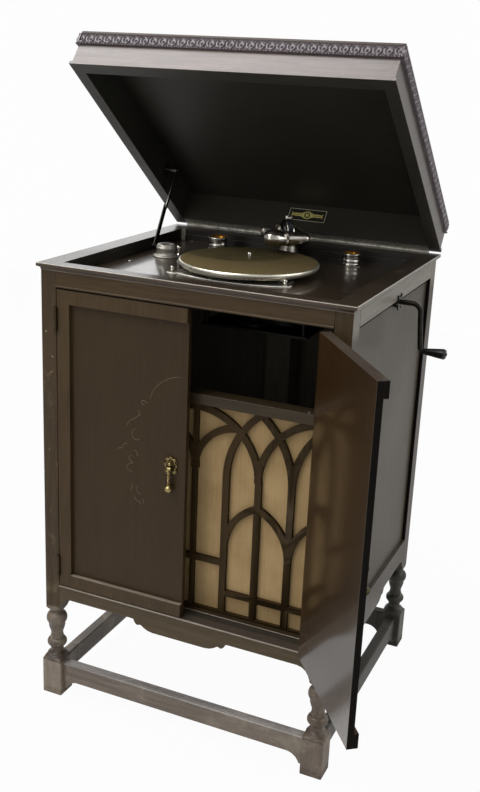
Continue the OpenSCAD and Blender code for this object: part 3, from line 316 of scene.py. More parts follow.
def cloth_mat():
    """Plain woven cloth in a dull gold."""
    t = Tree(bpy.data.materials.new("grille_cloth_weave"))
    threads = 5200.0
    c = t.coords()
    x, _, z = t.xyz(c)
    wx = t.math("SINE", t.math("MULTIPLY", x, threads))
    wz = t.math("SINE", t.math("MULTIPLY", z, threads))
    weave = t.math("MULTIPLY_ADD", t.math("MULTIPLY", wx, wz), 0.5, 0.5)
    soft = t.noise(c, 11, 5, 0.6)
    slub = t.noise(t.coords((260, 1, 12)), 1.0, 3, 0.6)
    f = t.math("MULTIPLY_ADD", weave, 0.22, t.math("MULTIPLY_ADD", soft, 0.6, t.math("MULTIPLY", slub, 0.25)))
    col = t.ramp(f, [(0.25, lin("#866e4a")), (0.8, lin("#b0966d"))])
    return t.done(col, 0.9, 0.0, t.bump(weave, 0.35, 0.0003), spec=0.1)


M["felt"] = felt_mat()
M["cloth"] = cloth_mat()


# ---------------------------------------------------------------- mesh helpers
BOX_FACES = ((0, 1, 3, 2), (4, 6, 7, 5), (0, 4, 5, 1), (2, 3, 7, 6), (0, 2, 6, 4), (1, 5, 7, 3))
UP, ALONG_X, ALONG_Y, TO_FRONT = (0, 0, 1), (1, 0, 0), (0, 1, 0), (0, -1, 0)


def finish_mesh(name, bm, mat, node, frame_m=CASE, bevel=0.0, smooth=50, body=None, angle=28):
    """Turns a bmesh in millimetres into an object that rides its node's body and stands for that node."""
    if bevel:
        bm.normal_update()
        es = [e for e in bm.edges if len(e.link_faces) == 2 and e.calc_face_angle(0) > rad(angle)]
        bmesh.ops.bevel(bm, geom=es, offset=bevel, segments=2, profile=0.5, affect="EDGES",
                        clamp_overlap=True)
    bmesh.ops.recalc_face_normals(bm, faces=bm.faces)
    me = bpy.data.meshes.new(name)
    bm.to_mesh(me)
    bm.free()
    me.transform(Matrix.Scale(0.001, 4))
    me.shade_smooth()
    me.set_sharp_from_angle(angle=rad(smooth))
    ob = bpy.data.objects.new(name, me)
    bpy.context.scene.collection.objects.link(ob)
    ob.matrix_world = frame_m
    me.materials.append(M[mat])
    if bevel:
        m = ob.modifiers.new("wn", "WEIGHTED_NORMAL")
        m.keep_sharp = True
        m.weight = 80
    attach(ob, body or BODY[node])
    if node:
        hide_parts(node)
    return ob


def bm_of(V, F):
    bm = bmesh.new()
    vs = [bm.verts.new(v) for v in V]
    for f in F:
        try:
            bm.faces.new([vs[i] for i in f])
        except ValueError:
            pass
    return bm


def box(name, b, mat, node, frame_m=CASE, bevel=0.0):
    x0, x1, y0, y1, z0, z1 = b
    V = [(x, y, z) for z in (z0, z1) for y in (y0, y1) for x in (x0, x1)]
    return finish_mesh(name, bm_of(V, BOX_FACES), mat, node, frame_m, bevel)


def prism(name, pts, a0, a1, plane, mat, node, frame_m=CASE):
    """Extrudes a 2-D outline; plane is xz (along y), yz (along x) or xy (along z)."""
    put = {"xz": lambda p, a: (p[0], a, p[1]), "yz": lambda p, a: (a, p[0], p[1]),
           "xy": lambda p, a: (p[0], p[1], a)}[plane]
    n = len(pts)
    V = [put(p, a0) for p in pts] + [put(p, a1) for p in pts]
    F = [tuple(range(n)), tuple(range(2 * n - 1, n - 1, -1))]
    F += [(i, (i + 1) % n, n + (i + 1) % n, n + i) for i in range(n)]
    return finish_mesh(name, bm_of(V, F), mat, node, frame_m)


def rings(name, rs, mat, node, frame_m=CASE, caps=True, **kw):
    """Joins rings of equal point count into a skin."""
    n, last = len(rs[0]), (len(rs) - 1) * len(rs[0])
    V = [p for r in rs for p in r]
    F = [(a + j, a + (j + 1) % n, a + n + (j + 1) % n, a + n + j)
         for a in range(0, last, n) for j in range(n)]
    if caps:
        F += [tuple(range(n - 1, -1, -1)), tuple(last + j for j in range(n))]
    return finish_mesh(name, bm_of(V, F), mat, node, frame_m, **kw)


def circle(seg):
    return [(math.cos(2 * math.pi * k / seg), math.sin(2 * math.pi * k / seg)) for k in range(seg)]


def placed(centre, axis):
    """Takes points drawn about the z axis to an axis through centre."""
    c, q = Vector(centre), Vector(UP).rotation_difference(Vector(axis))
    return lambda x, y, z: tuple(c + q @ Vector((x, y, z)))


def lathe(name, prof, mat, node, centre, axis=UP, frame_m=CASE, seg=64, **kw):
    """Turns (radius, height) points about an axis through centre."""
    put = placed(centre, axis)
    rs = [[put(r * c, r * s, h) for c, s in circle(seg)] for r, h in ((max(r, 0.001), h) for r, h in prof)]
    return rings(name, rs, mat, node, frame_m, **kw)


def knurl(name, r, h, mat, node, centre, axis, fr, teeth, depth=0.45):
    """A ring with fine teeth along its rim."""
    put = placed(centre, axis)
    rs = []
    for rr, z in ((r - 0.9, 0), (r - 0.1, 0.7), (r, 1.2), (r, h - 1.2), (r - 0.1, h - 0.7), (r - 0.9, h)):
        toothed = r - rr < 0.5
        radii = [rr - (depth if k % 2 and toothed else 0.0) for k in range(teeth * 2)]
        rs.append([put(q * math.cos(math.pi * k / teeth), q * math.sin(math.pi * k / teeth), z)
                   for k, q in enumerate(radii)])
    return rings(name, rs, mat, node, fr, smooth=30)


def tube(name, path, radii, mat, node, frame_m=CASE, seg=10, **kw):
    """A round bar along a path of points, with one radius or one per point."""
    P = [Vector(p) for p in path]
    rr = radii if isinstance(radii, (list, tuple)) else [radii] * len(P)
    up = None
    rs = []
    for i, p in enumerate(P):
        d = (P[min(i + 1, len(P) - 1)] - P[max(i - 1, 0)]).normalized()
        if up is None:
            up = d.orthogonal().normalized()
        up = (up - d * up.dot(d)).normalized()
        side = d.cross(up)
        rs.append([tuple(p + rr[i] * (up * c + side * s)) for c, s in circle(seg)])
    return rings(name, rs, mat, node, frame_m, **kw)


def smooth_path(pts):
    """A smooth curve through pts, in five steps from each to the next."""
    P = [Vector(p) for p in pts]
    out = []
    for i in range(len(P) - 1):
        a, b, c, d = P[max(i - 1, 0)], P[i], P[i + 1], P[min(i + 2, len(P) - 1)]
        for k in range(5):
            t = k / 5
            out.append(0.5 * ((2 * b) + (c - a) * t + (2 * a - 5 * b + 4 * c - d) * t * t
                              + (3 * b - a - 3 * c + d) * t ** 3))
    return [tuple(p) for p in out + [P[-1]]]


def arc(cx, cy, r, a0, a1, n):
    angles = [rad(a0 + (a1 - a0) * i / n) for i in range(n + 1)]
    return [(cx + r * math.cos(a), cy + r * math.sin(a)) for a in angles]


def polish(node, mat, bevel):
    """Shows a CAD node with softened edges: same shape, its own clean mesh."""
    bm = bmesh.new()
    bm.from_mesh(NODES[node].data)
    bmesh.ops.remove_doubles(bm, verts=bm.verts, dist=2e-6)
    bmesh.ops.dissolve_limit(bm, angle_limit=rad(0.4), verts=bm.verts, edges=bm.edges)
    bmesh.ops.transform(bm, matrix=Matrix.Scale(1000, 4), verts=bm.verts)
    return finish_mesh(node + "_form", bm, mat, node, Matrix.Identity(4), bevel, smooth=40, angle=30)


def bb(node, fr=CASE):
    """Box of a solid in millimetres, in a frame."""
    inv = fr.inverted() @ NODES[node].matrix_world
    P = np.array([inv @ v.co for v in NODES[node].data.vertices]) * 1000
    return P.min(0), P.max(0)


def paint(ob, mat, test, fr=CASE):
    """Gives the faces whose middle, in millimetres in a frame, meets the test another material."""
    me = ob.data
    me.materials.append(M[mat])
    k = len(me.materials) - 1
    m = fr.inverted() @ ob.matrix_world
    for p in me.polygons:
        c = (m @ p.center) * 1000
        if test(c, m.to_3x3() @ p.normal):
            p.material_index = k


# ---------------------------------------------------------------- nodes shown as they are
PLAIN = {
    "inside": ("back_panel", "bottom_board", "wooden_horn"),
    "deck": ("motor_board",),
    "cloth": ("grille_cloth",),
    "hinge_bronze": ("case_hinge_leaves", "left_hinge_leaves", "right_hinge_leaves"),
    "hinge_nickel": ("lid_hinge_lower_leaf", "lid_hinge_upper_leaf"),
    "motor_dark": ("motor_frame", "spring_barrel", "mainspring", "winding_wheel", "drive_wheel", "governor"),
    "nickel": ("spindle", "speed_lever", "brake_lever", "stop_lever"),
    "nickel_screw": ("deck_screws",),
    "steel_mid": ("stay_foot", "stay_upper_link", "stay_lid_bracket"),
    "steel_dark": ("stay_lower_link",),
}
LOOK = {node: mat for mat, nodes in PLAIN.items() for node in nodes}
for node, ob in NODES.items():
    ob.data.materials.clear()
    ob.data.materials.append(M[LOOK.get(node, "front")])
    ob.data.shade_smooth()
    ob.data.set_sharp_from_angle(angle=rad(35))

POL = {node: polish(node, mat, bevel) for node, mat, bevel in (
    ("front_apron", "apron", 1.0), ("back_rails", "inside", 0.6), ("side_rails", "side_y", 1.0),
    ("grille_surround", "surround", 1.2), ("fretwork_grille", "fret", 1.3), ("left_door_frame", "front", 1.2),
    ("right_door_frame", "front", 1.2), ("right_door_panel", "panel", 1.0), ("left_door_panel", "panel", 1.0),
    ("crank_escutcheon", "steel_dark", 0.4), ("long_stretchers", "stretcher", 1.8),
    ("side_stretchers", "stretcher_y", 1.8), ("front_top_rail", "front_x", 0.8), ("top_rim", "rim", 1.0),
    ("lid_frame", "lid", 1.0), ("lid_panel", "lid_top", 1.8), ("stay_lower_link", "steel_dark", 0.3),
    ("stay_upper_link", "steel_mid", 0.3), ("left_pull_plate", "brass_dark", 0.3),
    ("right_pull_plate", "brass_dark", 0.3), ("speed_plate", "nickel_soft", 0.5),
    ("tonearm_tube", "nickel", 0.4), ("side_panels", "side", 0.5))}


def in_well(c, n):
    """Faces that stand round the sunk deck."""
    return 800 < c.z < 839.4 and abs(c.x) < 248.6 and -230.6 < c.y < 212.6 and abs(n.z) < 0.6


def door_end(c, n):
    return n.z > 0.5 and c.z > 796


# Node, material, frame, and a test of a face's middle c in millimetres and its normal n. Later rows go
# over earlier ones.
for node, mat, fr, test in (
        # The lid is dark inside; its side boards have the grain along y.
        ("lid_frame", "lid_y", LID, lambda c, n: abs(c.x) > 282.4 and abs(n.x) > 0.5),
        ("lid_frame", "lid_in", LID, lambda c, n: (abs(c.x) < 264.6 and -500 < c.y < -22.0)
         or c.y > -22.4 and abs(c.x) < 262.5),
        ("lid_panel", "lid_in", LID, lambda c, n: n.z < -0.5 and abs(c.x) < 282 and c.y > -520),
        ("lid_panel", "lid_y", LID, lambda c, n: abs(n.x) > 0.4),
        # Backs, tops and inner faces of the case.
        ("back_panel", "outside", CASE, lambda c, n: n.y > 0.5),
        ("bottom_board", "outside", CASE, lambda c, n: True),
        ("top_rim", "rim_top", CASE, lambda c, n: n.z > 0.9 and c.z > 839),
        ("back_rails", "outside", CASE, lambda c, n: n.y > 0.5 or n.z < -0.5),
        ("side_rails", "inside", CASE, lambda c, n: abs(c.x) < 252 and c.z < 800),
        # The outer faces of the side rails and of the rim's ends are painted pale grey as sheen.
        ("side_rails", "side_rail", CASE, lambda c, n: abs(c.x) > 270 and c.z > 790 and abs(n.x) > 0.5),
        ("top_rim", "side_rail", CASE, lambda c, n: abs(c.x) > 270 and abs(n.x) > 0.5 and c.z < 839.6),
        ("front_top_rail", "inside", CASE, lambda c, n: c.y > -249 and c.z < 800),
        *((node, "rim_in", CASE, in_well)
          for node in ("front_top_rail", "side_rails", "back_rails", "top_rim")),
        # Doors: lacquered inside, with dark edges.
        ("right_door_panel", "door_in", RDOOR, lambda c, n: n.y > 0.4),
        ("right_door_panel", "dark_edge_and_shade", RDOOR, lambda c, n: n.x < -0.5),
        *((side + "_door_" + part, "door_top", CASE, door_end)
          for side in ("right", "left") for part in ("panel", "frame")),
        ("right_door_frame", "dark_edge_and_shade", RDOOR, lambda c, n: n.x < -0.5 and c.x < -200),
        # Painted highlights on ledges and on the long stretchers' tops, where the light catches them; the
        # apron's top is given a greyer colour.
        ("left_door_frame", "ledge", CASE, lambda c, n: n.z > 0.3 and c.z < 262),
        ("front_apron", "sill_top", CASE, lambda c, n: n.z > 0.9),
        ("front_apron", "ledge", CASE, lambda c, n: n.z > 0.3 and n.y < -0.1),
        ("grille_surround", "ledge", CASE, lambda c, n: n.z > 0.3 and n.y < -0.3 and c.z < 300),
        ("long_stretchers", "stretcher_top_lit", CASE, lambda c, n: n.z > 0.3),
        # Those at the back and on the right are painted darker, as shade.
        ("side_stretchers", "stretcher_shaded", CASE, lambda c, n: c.x > 0),
        ("long_stretchers", "back_shaded", CASE, lambda c, n: c.y > 0)):
    paint(POL.get(node, NODES[node]), mat, test, fr)

# ---------------------------------------------------------------- carved band of the lid
BAND_H, BAND_Z, PITCH = 20, 43, 17.6
GROUND, RELIEF, BORDER = 2.4, 3.0, 4.6


def relief(u, v, pitch):
    """Height of the carving from 0, the ground, to 1: curled leaves with berries between two beads."""
    x = ((u % pitch) - pitch / 2) / 1.16
    v = BAND_H / 2 + (v - BAND_H / 2) / 1.36

    def disc(cx, cz, r):
        return r - np.hypot(x - cx, v - cz)

    def stem(ax, az, bx, bz, ra, rb):
        dx, dz = bx - ax, bz - az
        t = np.clip(((x - ax) * dx + (v - az) * dz) / (dx * dx + dz * dz), 0, 1)
        return ra + (rb - ra) * t - np.hypot(x - ax - t * dx, v - az - t * dz)

    s = np.minimum(disc(-2.2, 9.6, 5.9), -disc(0.6, 10.9, 4.5))
    for q in (disc(0.2, 10.2, 1.9), stem(0.6, 3.6, 5.2, 9.2, 1.5, 1.6), stem(5.2, 9.2, 4.6, 14.4, 1.6, 1.2),
              stem(4.6, 14.4, 1.8, 15.4, 1.2, 1.0), disc(-6.2, 15.4, 1.2), disc(6.6, 15.6, 1.1),
              disc(6.9, 4.6, 1.3), disc(-3.6, 14.9, 0.9)):
        s = np.maximum(s, q)
    h = np.clip(s / 1.5, 0, 1)
    h = h * (2 - h)
    beads = np.maximum(np.clip((3.3 - v) / 0.5, 0, 1), np.clip((v - 16.7) / 0.5, 0, 1))
    return np.maximum(h, beads)


def carved(name, length, origin, along, out):
    """A strip of the band: a height field over the ground, with its edges turned back to the board."""
    motifs = round(length / PITCH)
    nu, nv = motifs * 24, 30
    us, vs = np.linspace(0, length, nu + 1), np.linspace(0, BAND_H, nv + 1)
    U, W = np.meshgrid(us, vs, indexing="ij")
    H = GROUND + RELIEF * relief(U, W, length / motifs)
    H[:, 0] = H[:, -1] = H[0, :] = H[-1, :] = 0.0
    W[:, 1] = 0.0
    W[:, -2] = BAND_H
    U[1, :] = 0.0
    U[-2, :] = length
    H[:, 1] = H[:, -2] = BORDER
    V = (np.array(origin)[None, None, :] + U[..., None] * np.array(along) + W[..., None] * np.array(UP)
         + H[..., None] * np.array(out))
    n = nv + 1
    F = [(a + j, a + n + j, a + n + j + 1, a + j + 1) for a in range(0, nu * n, n) for j in range(nv)]
    finish_mesh(name, bm_of(V.reshape(-1, 3).tolist(), F), "lid_band", "lid_carved_band", LID, smooth=62)


carved("band_front", 577.0, (-288.5, -521, BAND_Z), ALONG_X, TO_FRONT)
carved("band_right", 524.0, (283, -526.2, BAND_Z), ALONG_Y, ALONG_X)
carved("band_left", 524.0, (-283, -526.2, BAND_Z), ALONG_Y, (-1, 0, 0))

# ---------------------------------------------------------------- legs
LEG_X, LEG_Y, FOOT_HALF = 265.5, 237.5, 20
POST_X, POST_Y = (250, 280), (218, 252)
FOOT_TOP, POST_FROM = 76.7, 176
# Profile of a leg from the floor up, as (radius, height); the square foot and post cut into it.
TURN = ([(28.6, 0), (28.6, 70), (27.6, 71.6), (25.4, 73.6), (22.4, 75.4), (19.6, 76.6), (18.9, 77),
         (18.9, 79.4), (17.6, 80.2), (17.4, 81.6)]
        + arc(19.5, 89.5, 8, 255, 190, 6) + [(11.7, 93.5), (13.2, 94.5), (13.2, 96.2)]
        + arc(9.5, 105, 9, -78, -6, 8) + [(17.9, 104.6), (17.9, 105.4)] + arc(9.5, 105, 9, 6, 78, 8)
        + [(12.6, 114.2), (12.6, 115.6)] + arc(31, 124, 19.6, 200, 152, 6) + [(15.4, 140)]
        + arc(5, 156.5, 14.6, -42, 60, 12) + [(10.4, 173.2), (10.4, 176), (13, 177.5)]
        + arc(1, 203, 29.5, -60, -28, 8) + [(27, 200), (27, 828)])


def leg(name, sx, sy, node):
    """A leg and its post: square foot, turned shaft, square post. Corners get rays of their own."""
    ax, ay = LEG_X * sx, LEG_Y * sy
    foot = (ax - FOOT_HALF, ax + FOOT_HALF, ay - FOOT_HALF, ay + FOOT_HALF)
    post = tuple(sorted(v * sx for v in POST_X)) + tuple(sorted(v * sy for v in POST_Y))
    rays = {round(2 * math.pi * k / 60, 5) for k in range(60)}
    for b in (foot, post):
        for cx, cy in ((b[0], b[2]), (b[1], b[2]), (b[1], b[3]), (b[0], b[3])):
            for e in (-0.05, -0.02, 0.0, 0.02, 0.05):
                rays.add(round((math.atan2(cy - ay, cx - ax) + e) % (2 * math.pi), 5))

    def square(b, th):
        """How far the square reaches along a ray, less a soft corner."""
        c, s = math.cos(th), math.sin(th)
        rx = ((b[1] if c > 0 else b[0]) - ax) / c if abs(c) > 1e-6 else 1e9
        ry = ((b[3] if s > 0 else b[2]) - ay) / s if abs(s) > 1e-6 else 1e9
        return min(rx, ry) - max(0.0, 1.5 - abs(rx - ry) * 0.45) * 0.35

    rs = []
    for r, z in TURN:
        b = foot if z <= FOOT_TOP else (post if z > POST_FROM else None)
        reach = [(min(r, square(b, th) if b else 1e9), th) for th in sorted(rays)]
        rs.append([(ax + d * math.cos(th), ay + d * math.sin(th), z) for d, th in reach])
    ob = rings(name, rs, "post", node, smooth=38)
    front, right = sy < 0, sx > 0
    # Below the posts; the back right leg is painted darker, as shade.
    paint(ob, "leg" if front or not right else "leg_shaded", lambda c, n: c.z < 186)
    # The posts' outer sides take the side boards' colour, fading up to a painted grey sheen under the rim.
    paint(ob, "side_post_sheen", lambda c, n: c.z > 186 and n.x * sx > 0.7)
    # The back posts' faces toward the front are painted near black as shade.
    paint(ob, "dark_edge_and_shade", lambda c, n: c.z > 240 and n.y * sy < -0.7 and not front)
    # Feet: the front ones paler, the back ones in the darker painted shade.
    paint(ob, ("foot_mid" if right else "foot") if front else "back_shaded",
          lambda c, n: c.z < (70.5 if front else 78))


leg("leg_front_left", -1, -1, "front_legs")
leg("leg_front_right", 1, -1, "front_legs")
leg("leg_back_left", -1, 1, "back_legs")
leg("leg_back_right", 1, 1, "back_legs")

# ---------------------------------------------------------------- ornament of the doors
# Half of the pattern, as (distance from the meeting edge, height); the other door carries its mirror image.
MARKS = [[(2, 680), (22, 676), (36, 671), (50, 662), (62, 650), (69, 636), (72, 624)],
         [(72, 624), (77, 622), (84, 624.6), (87, 621), (84, 617), (79, 618)],
         [(84, 609), (90, 607), (92, 602), (89, 598), (94.6, 594.6), (99, 590), (109, 584), (114, 577),
          (117, 570), (117.5, 562)],
         [(94, 571), (101, 570), (104.5, 564), (103.5, 556), (98, 551), (91, 553), (89, 558)],
         [(110, 539), (117, 541), (122, 537), (124, 531), (131, 529), (136, 522)],
         [(100, 521), (106, 521), (110, 517), (108, 511), (102, 508), (108, 505), (114, 500), (112, 493),
          (104, 490), (97, 491)],
         [(97, 519), (93, 524), (96, 530), (103, 531)],
         [(90, 470), (94, 462), (91, 453), (85, 450)], [(100, 448), (96, 440), (88, 436), (85, 430)],
         [(101, 470), (105, 460), (103, 452)], [(84, 446), (80, 440), (82, 432)]]


def marks(door, fr, edge, sgn):
    """Thin raised lines on the panel's face, which run out at both ends; edge is the meeting edge in x."""
    node = door + "_door_panel"
    face = bb(node, fr)[0][1]
    for i, m in enumerate(MARKS):
        pts = smooth_path([(edge + sgn * d, face + 0.35, z) for d, z in m])
        n = len(pts)
        rr = [0.2 + 0.6 * min(1.0, 4 * k / n, 4 * (n - 1 - k) / n) for k in range(n)]
        tube("%s_door_mark_%d" % (door, i), pts, rr, "front_line", node, fr, seg=8, smooth=60)


marks("left", CASE, 2.0, -1)
marks("right", RDOOR, -247.0, 1)

# ---------------------------------------------------------------- door pulls
PULL_Z = 517
SCROLL = [(0, 17.5), (1.5, 14.5), (4.6, 12.6), (7.4, 13.6), (8.2, 11), (6.2, 9.2), (7.4, 6.6), (10.4, 3.8),
          (11.2, 0.8), (9.2, -1.8), (8.0, -4.6), (8.8, -8.4), (7.4, -11.4), (4.8, -11.0), (4.6, -8.6)]
BULB = [(0, -28), (3.0, -28), (3.6, -29.6), (3.2, -30.6), (5.8, -31.8), (7.6, -33.4), (8.3, -35.4),
        (8.2, -36.6), (7.7, -37.0), (7.9, -37.6), (7.2, -39.6), (5.2, -41.2), (3.0, -42.3), (2.2, -42.8),
        (2.4, -43.6), (1.6, -44.6), (0, -45)]
BOSS = [(0, 0), (3.6, 0), (3.6, 1.6), (2.6, 3), (2.4, 5), (3.0, 6.2), (2.2, 7.4), (0, 7.8)]
EYE = [(1.2, -3), (2.8, -3), (2.9, 0), (2.8, 3), (1.2, 3)]


def pull(side, fr, x, bulb_mat):
    """Openwork plate, twisted neck and turned bulb; x is the plate's middle."""
    y = bb(side + "_door_panel", fr)[0][1]
    plate, drop = side + "_pull_plate", side + "_pull_drop"
    brass = "brass_aged"
    for s in (-1, 1):
        path = smooth_path([(x + s * a, y - 2.2, PULL_Z + b) for a, b in SCROLL])
        tube("%s_pull_scroll_%d" % (side, s), path, 1.15, brass, plate, fr)
        for a, b, r in ((6.0, 11.2, 1.7), (6.6, -9.6, 1.7), (9.6, 1.0, 1.5)):
            bead = [(0, -1), (r, -0.8), (r, 0.2), (r * 0.6, 1.0), (0, 1.2)]
            lathe("%s_pull_bead_%d_%d" % (side, s, b), bead, brass, plate, (x + s * a, y - 2.0, PULL_Z + b),
                  TO_FRONT, fr, seg=20)
    lathe(side + "_pull_boss", BOSS, brass, plate, (x, y - 1.8, PULL_Z + 5), TO_FRONT, fr, seg=24)
    pivot = cx, cy, cz = x, y - 7.8, PULL_Z - 3.0
    lathe(side + "_pull_eye", EYE, brass, drop, pivot, ALONG_X, fr, seg=28)
    for k in (0, 1):
        turns = [(math.pi * k + 0.52 * i, cz - 2.4 - 0.98 * i) for i in range(27)]
        P = [(cx + 1.8 * math.cos(a), cy + 1.8 * math.sin(a), z) for a, z in turns]
        tube("%s_pull_twist_%d" % (side, k), P, 1.6, brass, drop, fr, seg=12)
    lathe(side + "_pull_bulb", BULB, bulb_mat, drop, pivot, UP, fr, seg=40)


pull("left", CASE, -25.4, "brass_aged")
# The right pull's bulb is in dark brass as painted shade.
pull("right", RDOOR, -219.6, "brass_shaded")

# ---------------------------------------------------------------- lid plate with its gilt ornament
# The ornament is drawn round the plate's middle and is the same left and right, and above and below.
PLATE = "lid_label_plate"
MID_X, MID_Z = 5, 39
lo, hi = bb(PLATE, LID)
yp = lo[1]
box("plate_ground", (lo[0], hi[0], yp + 0.05, hi[1], lo[2], hi[2]), "plate_dark", PLATE, LID, 0.1)
x0, x1, z0, z1 = MID_X - 39.4, MID_X + 39.4, MID_Z - 13.4, MID_Z + 13.4
LINES = (x0, x1, z0, z0 + 1), (x0, x1, z1 - 1, z1), (x0, x0 + 1, z0, z1), (x1 - 1, x1, z0, z1)
for i, b in enumerate(LINES):
    box("plate_line_%d" % i, (*b[:2], yp, yp + 0.3, *b[2:]), "gold_line", PLATE, LID)


def gilt(name, pts, below, above, mat):
    """A flat form on the plate's face; pts are measured from the plate's middle."""
    prism(name, [(MID_X + x, MID_Z + z) for x, z in pts], yp - below, yp + above, "xz", mat, PLATE, LID)


QUARTER = [(34, 5.5), (30, 2.6), (23, 3.6), (14, 3.4), (8.5, 5.6), (4, 8), (0, 8.6)]
NOTCH = 32.4
upper = [(-x, z) for x, z in QUARTER] + QUARTER[-2::-1]
gilt("plate_ornament", upper + [(NOTCH, 0)] + [(x, -z) for x, z in upper[::-1]] + [(-NOTCH, 0)], 0, 0.3,
     "gold_paint")
gilt("plate_rosette_ground", arc(0, 0, 6.4, 0, 350, 35), 0.02, 0.2, "plate_dark")
PETALS = [(5.4 if k % 2 else 2.6, rad(22.5 * k)) for k in range(16)]
gilt("plate_rosette", [(r * math.cos(a), r * math.sin(a)) for r, a in PETALS], 0.04, 0.2, "gold_paint")
for s in (-1, 1):
    for k in range(3):
        a = s * (14 + 6.5 * k)
        gilt("plate_vein_%d_%d" % (s, k), [(a - 2.4, -0.4), (a + 2.4, -0.8), (a + 2.4, 0.6), (a - 2.4, 0.4)],
             0.02, 0.2, "plate_dark")

# ---------------------------------------------------------------- turntable
# Profiles of the platter and its felt, with heights from the felt's top.
PLATTER = [(4, -8), (12, -8), (14, -5), (119, -5), (120.2, -11.4), (121.2, -12.2), (122.4, -12.0),
           (123.0, -10.8), (123.9, -10.0), (125.4, -9.2), (126.5, -7.8), (127, -5.6), (126.7, -3.6),
           (126.1, -2.2), (125.3, -1.3), (124.5, -0.9), (124.0, -1.2), (123.9, -2), (4, -2)]
FELT = [(4.6, -2), (123.4, -2), (123.8, -1.2), (123.3, -0.4), (122.2, -0.02), (116, 0), (60, -0.05), (4.6, 0)]
for name, prof, mat, node, smooth in (("platter_form", PLATTER, "nickel_rim", "platter", 50),
                                      ("felt_form", FELT, "felt", "platter_felt", 60)):
    lathe(name, [(r, FELT_Z + h) for r, h in prof], mat, node, (PLATTER_X, PLATTER_Y, 0), seg=144,
          smooth=smooth)

# Bead on the outline of the speed plate: two round ends joined by an arc below the platter.
bead = [(-106 + 11 * math.cos(rad(a)), -99 + 11 * math.sin(rad(a))) for a in range(160, 336, 12)]
bead += [(x, 130 - math.sqrt(252.0 ** 2 - x * x)) for x in range(-94, 104, 6)]
bead += [(103 + 11 * math.cos(rad(a)), -88 + 11 * math.sin(rad(a))) for a in range(-80, 41, 12)]
BEAD_R = 0.95
# The bead is nickel, painted near white as partly a highlight.
tube("speed_plate_edge", [(x, y, DECK_Z + BEAD_R) for x, y in bead], BEAD_R, "nickel_edge_highlight", "speed_plate",
     smooth=60)

# ---------------------------------------------------------------- cups on the deck
CUP = [(0, 0), (23.4, 0), (23.5, 0.8), (22.6, 1.6), (18.4, 2.2), (17.0, 3.2), (16.6, 5), (16.4, 9),
       (16.9, 9.8), (16.4, 10.8), (16.3, 18.6), (17.0, 19.6), (17.8, 21), (17.7, 22.4), (16.8, 23.4),
       (15.2, 23.6)]
LINING = [(15.4, 23.5), (14.4, 23.0), (13.2, 21.2), (10, 14), (5, 9), (0, 8)]
BIN = [(0, 0), (24.4, 0), (25, 0.8), (24.9, 1.7), (22.4, 3.4), (19.6, 4.0), (18.2, 4.8), (17.7, 6.4),
       (17.6, 13.2), (18.4, 14.2), (18.7, 15.2), (18.6, 17.6), (18.0, 18.4), (17.4, 19.0), (17.2, 21.4),
       (16.6, 22.6), (15.4, 23.3), (9.4, 23.4), (8.2, 22.8)]
# The hole in the bin is lined in the dark motor paint: painted shade in the hollow.
BIN_HOLE = [(8.3, 22.8), (7.4, 20), (5.6, 14), (0, 12)]
RIGHT_CUP, BACK_CUP, BACK_SIZE, BIN_AT = (137, 163), (-138, 152), 1.12, (-189, 29)
for name, prof, mat, k, at in (("cup_right", CUP, "nickel", 1, RIGHT_CUP),
                               ("cup_lining_right", LINING, "cup_amber", 1, RIGHT_CUP),
                               ("cup_back", CUP, "nickel", BACK_SIZE, BACK_CUP),
                               ("cup_lining_back", LINING, "cup_amber", BACK_SIZE, BACK_CUP),
                               ("bin_form", BIN, "nickel_matt", 1, BIN_AT),
                               ("bin_hole", BIN_HOLE, "motor_dark", 1, BIN_AT)):
    lathe(name, [(a * k, b * k) for a, b in prof], mat, "needle_cups", (*at, DECK_Z), caps=False)

# ---------------------------------------------------------------- spindle tip, painted highlights and painted shadow lines
lathe("spindle_tip", [(3.6, 0), (3.6, 10.6), (3.3, 12.4), (2.3, 13.9), (0, 14.6)], "nickel", "spindle",
      (PLATTER_X, PLATTER_Y, FELT_Z - 0.2), seg=32)
lo, hi = bb("top_rim")
# Pale strips along the rim's top front and right edges: painted highlights.
box("rim_highlight_front", (lo[0] + 0.6, hi[0] - 0.6, lo[1] - 0.06, lo[1] + 2.0, hi[2] - 1.5, hi[2] + 0.06),
    "edge_highlight", "top_rim", bevel=0.5)
box("rim_highlight_right", (hi[0] - 1.2, hi[0] + 0.06, lo[1] + 0.6, hi[1] - 0.6, hi[2] - 1.5, hi[2] + 0.06),
    "edge_highlight", "top_rim", bevel=0.5)
# A pale line along the foot of the rim's front: painted highlight.
box("rim_foot_front", (lo[0] + 6, hi[0] - 6, lo[1] + 5.3, lo[1] + 6.3, lo[2] + 0.05, lo[2] + 1.1), "ledge",
    "top_rim", bevel=0.3)
# A thin dark strip along the top of each side panel, under the rail: painted shadow line.
lo, hi = bb("side_panels")
for s in (-1, 1):
    x = s * (hi[0] + 0.1)
    box("panel_gap_%d" % s, (min(x, x - s * 0.3), max(x, x - s * 0.3), lo[1] + 8, hi[1] - 8, 791.6, 799.6),
        "dark_edge_and_shade", "side_panels")
# A pale rounded strip in the well's back left corner: painted highlight.
prism("well_corner_highlight", [(-247.9, 212)] + arc(-241.9, 206, 6, 180, 90, 6), DECK_Z + 0.2, 839.4, "xy",
      "edge_highlight", "top_rim")

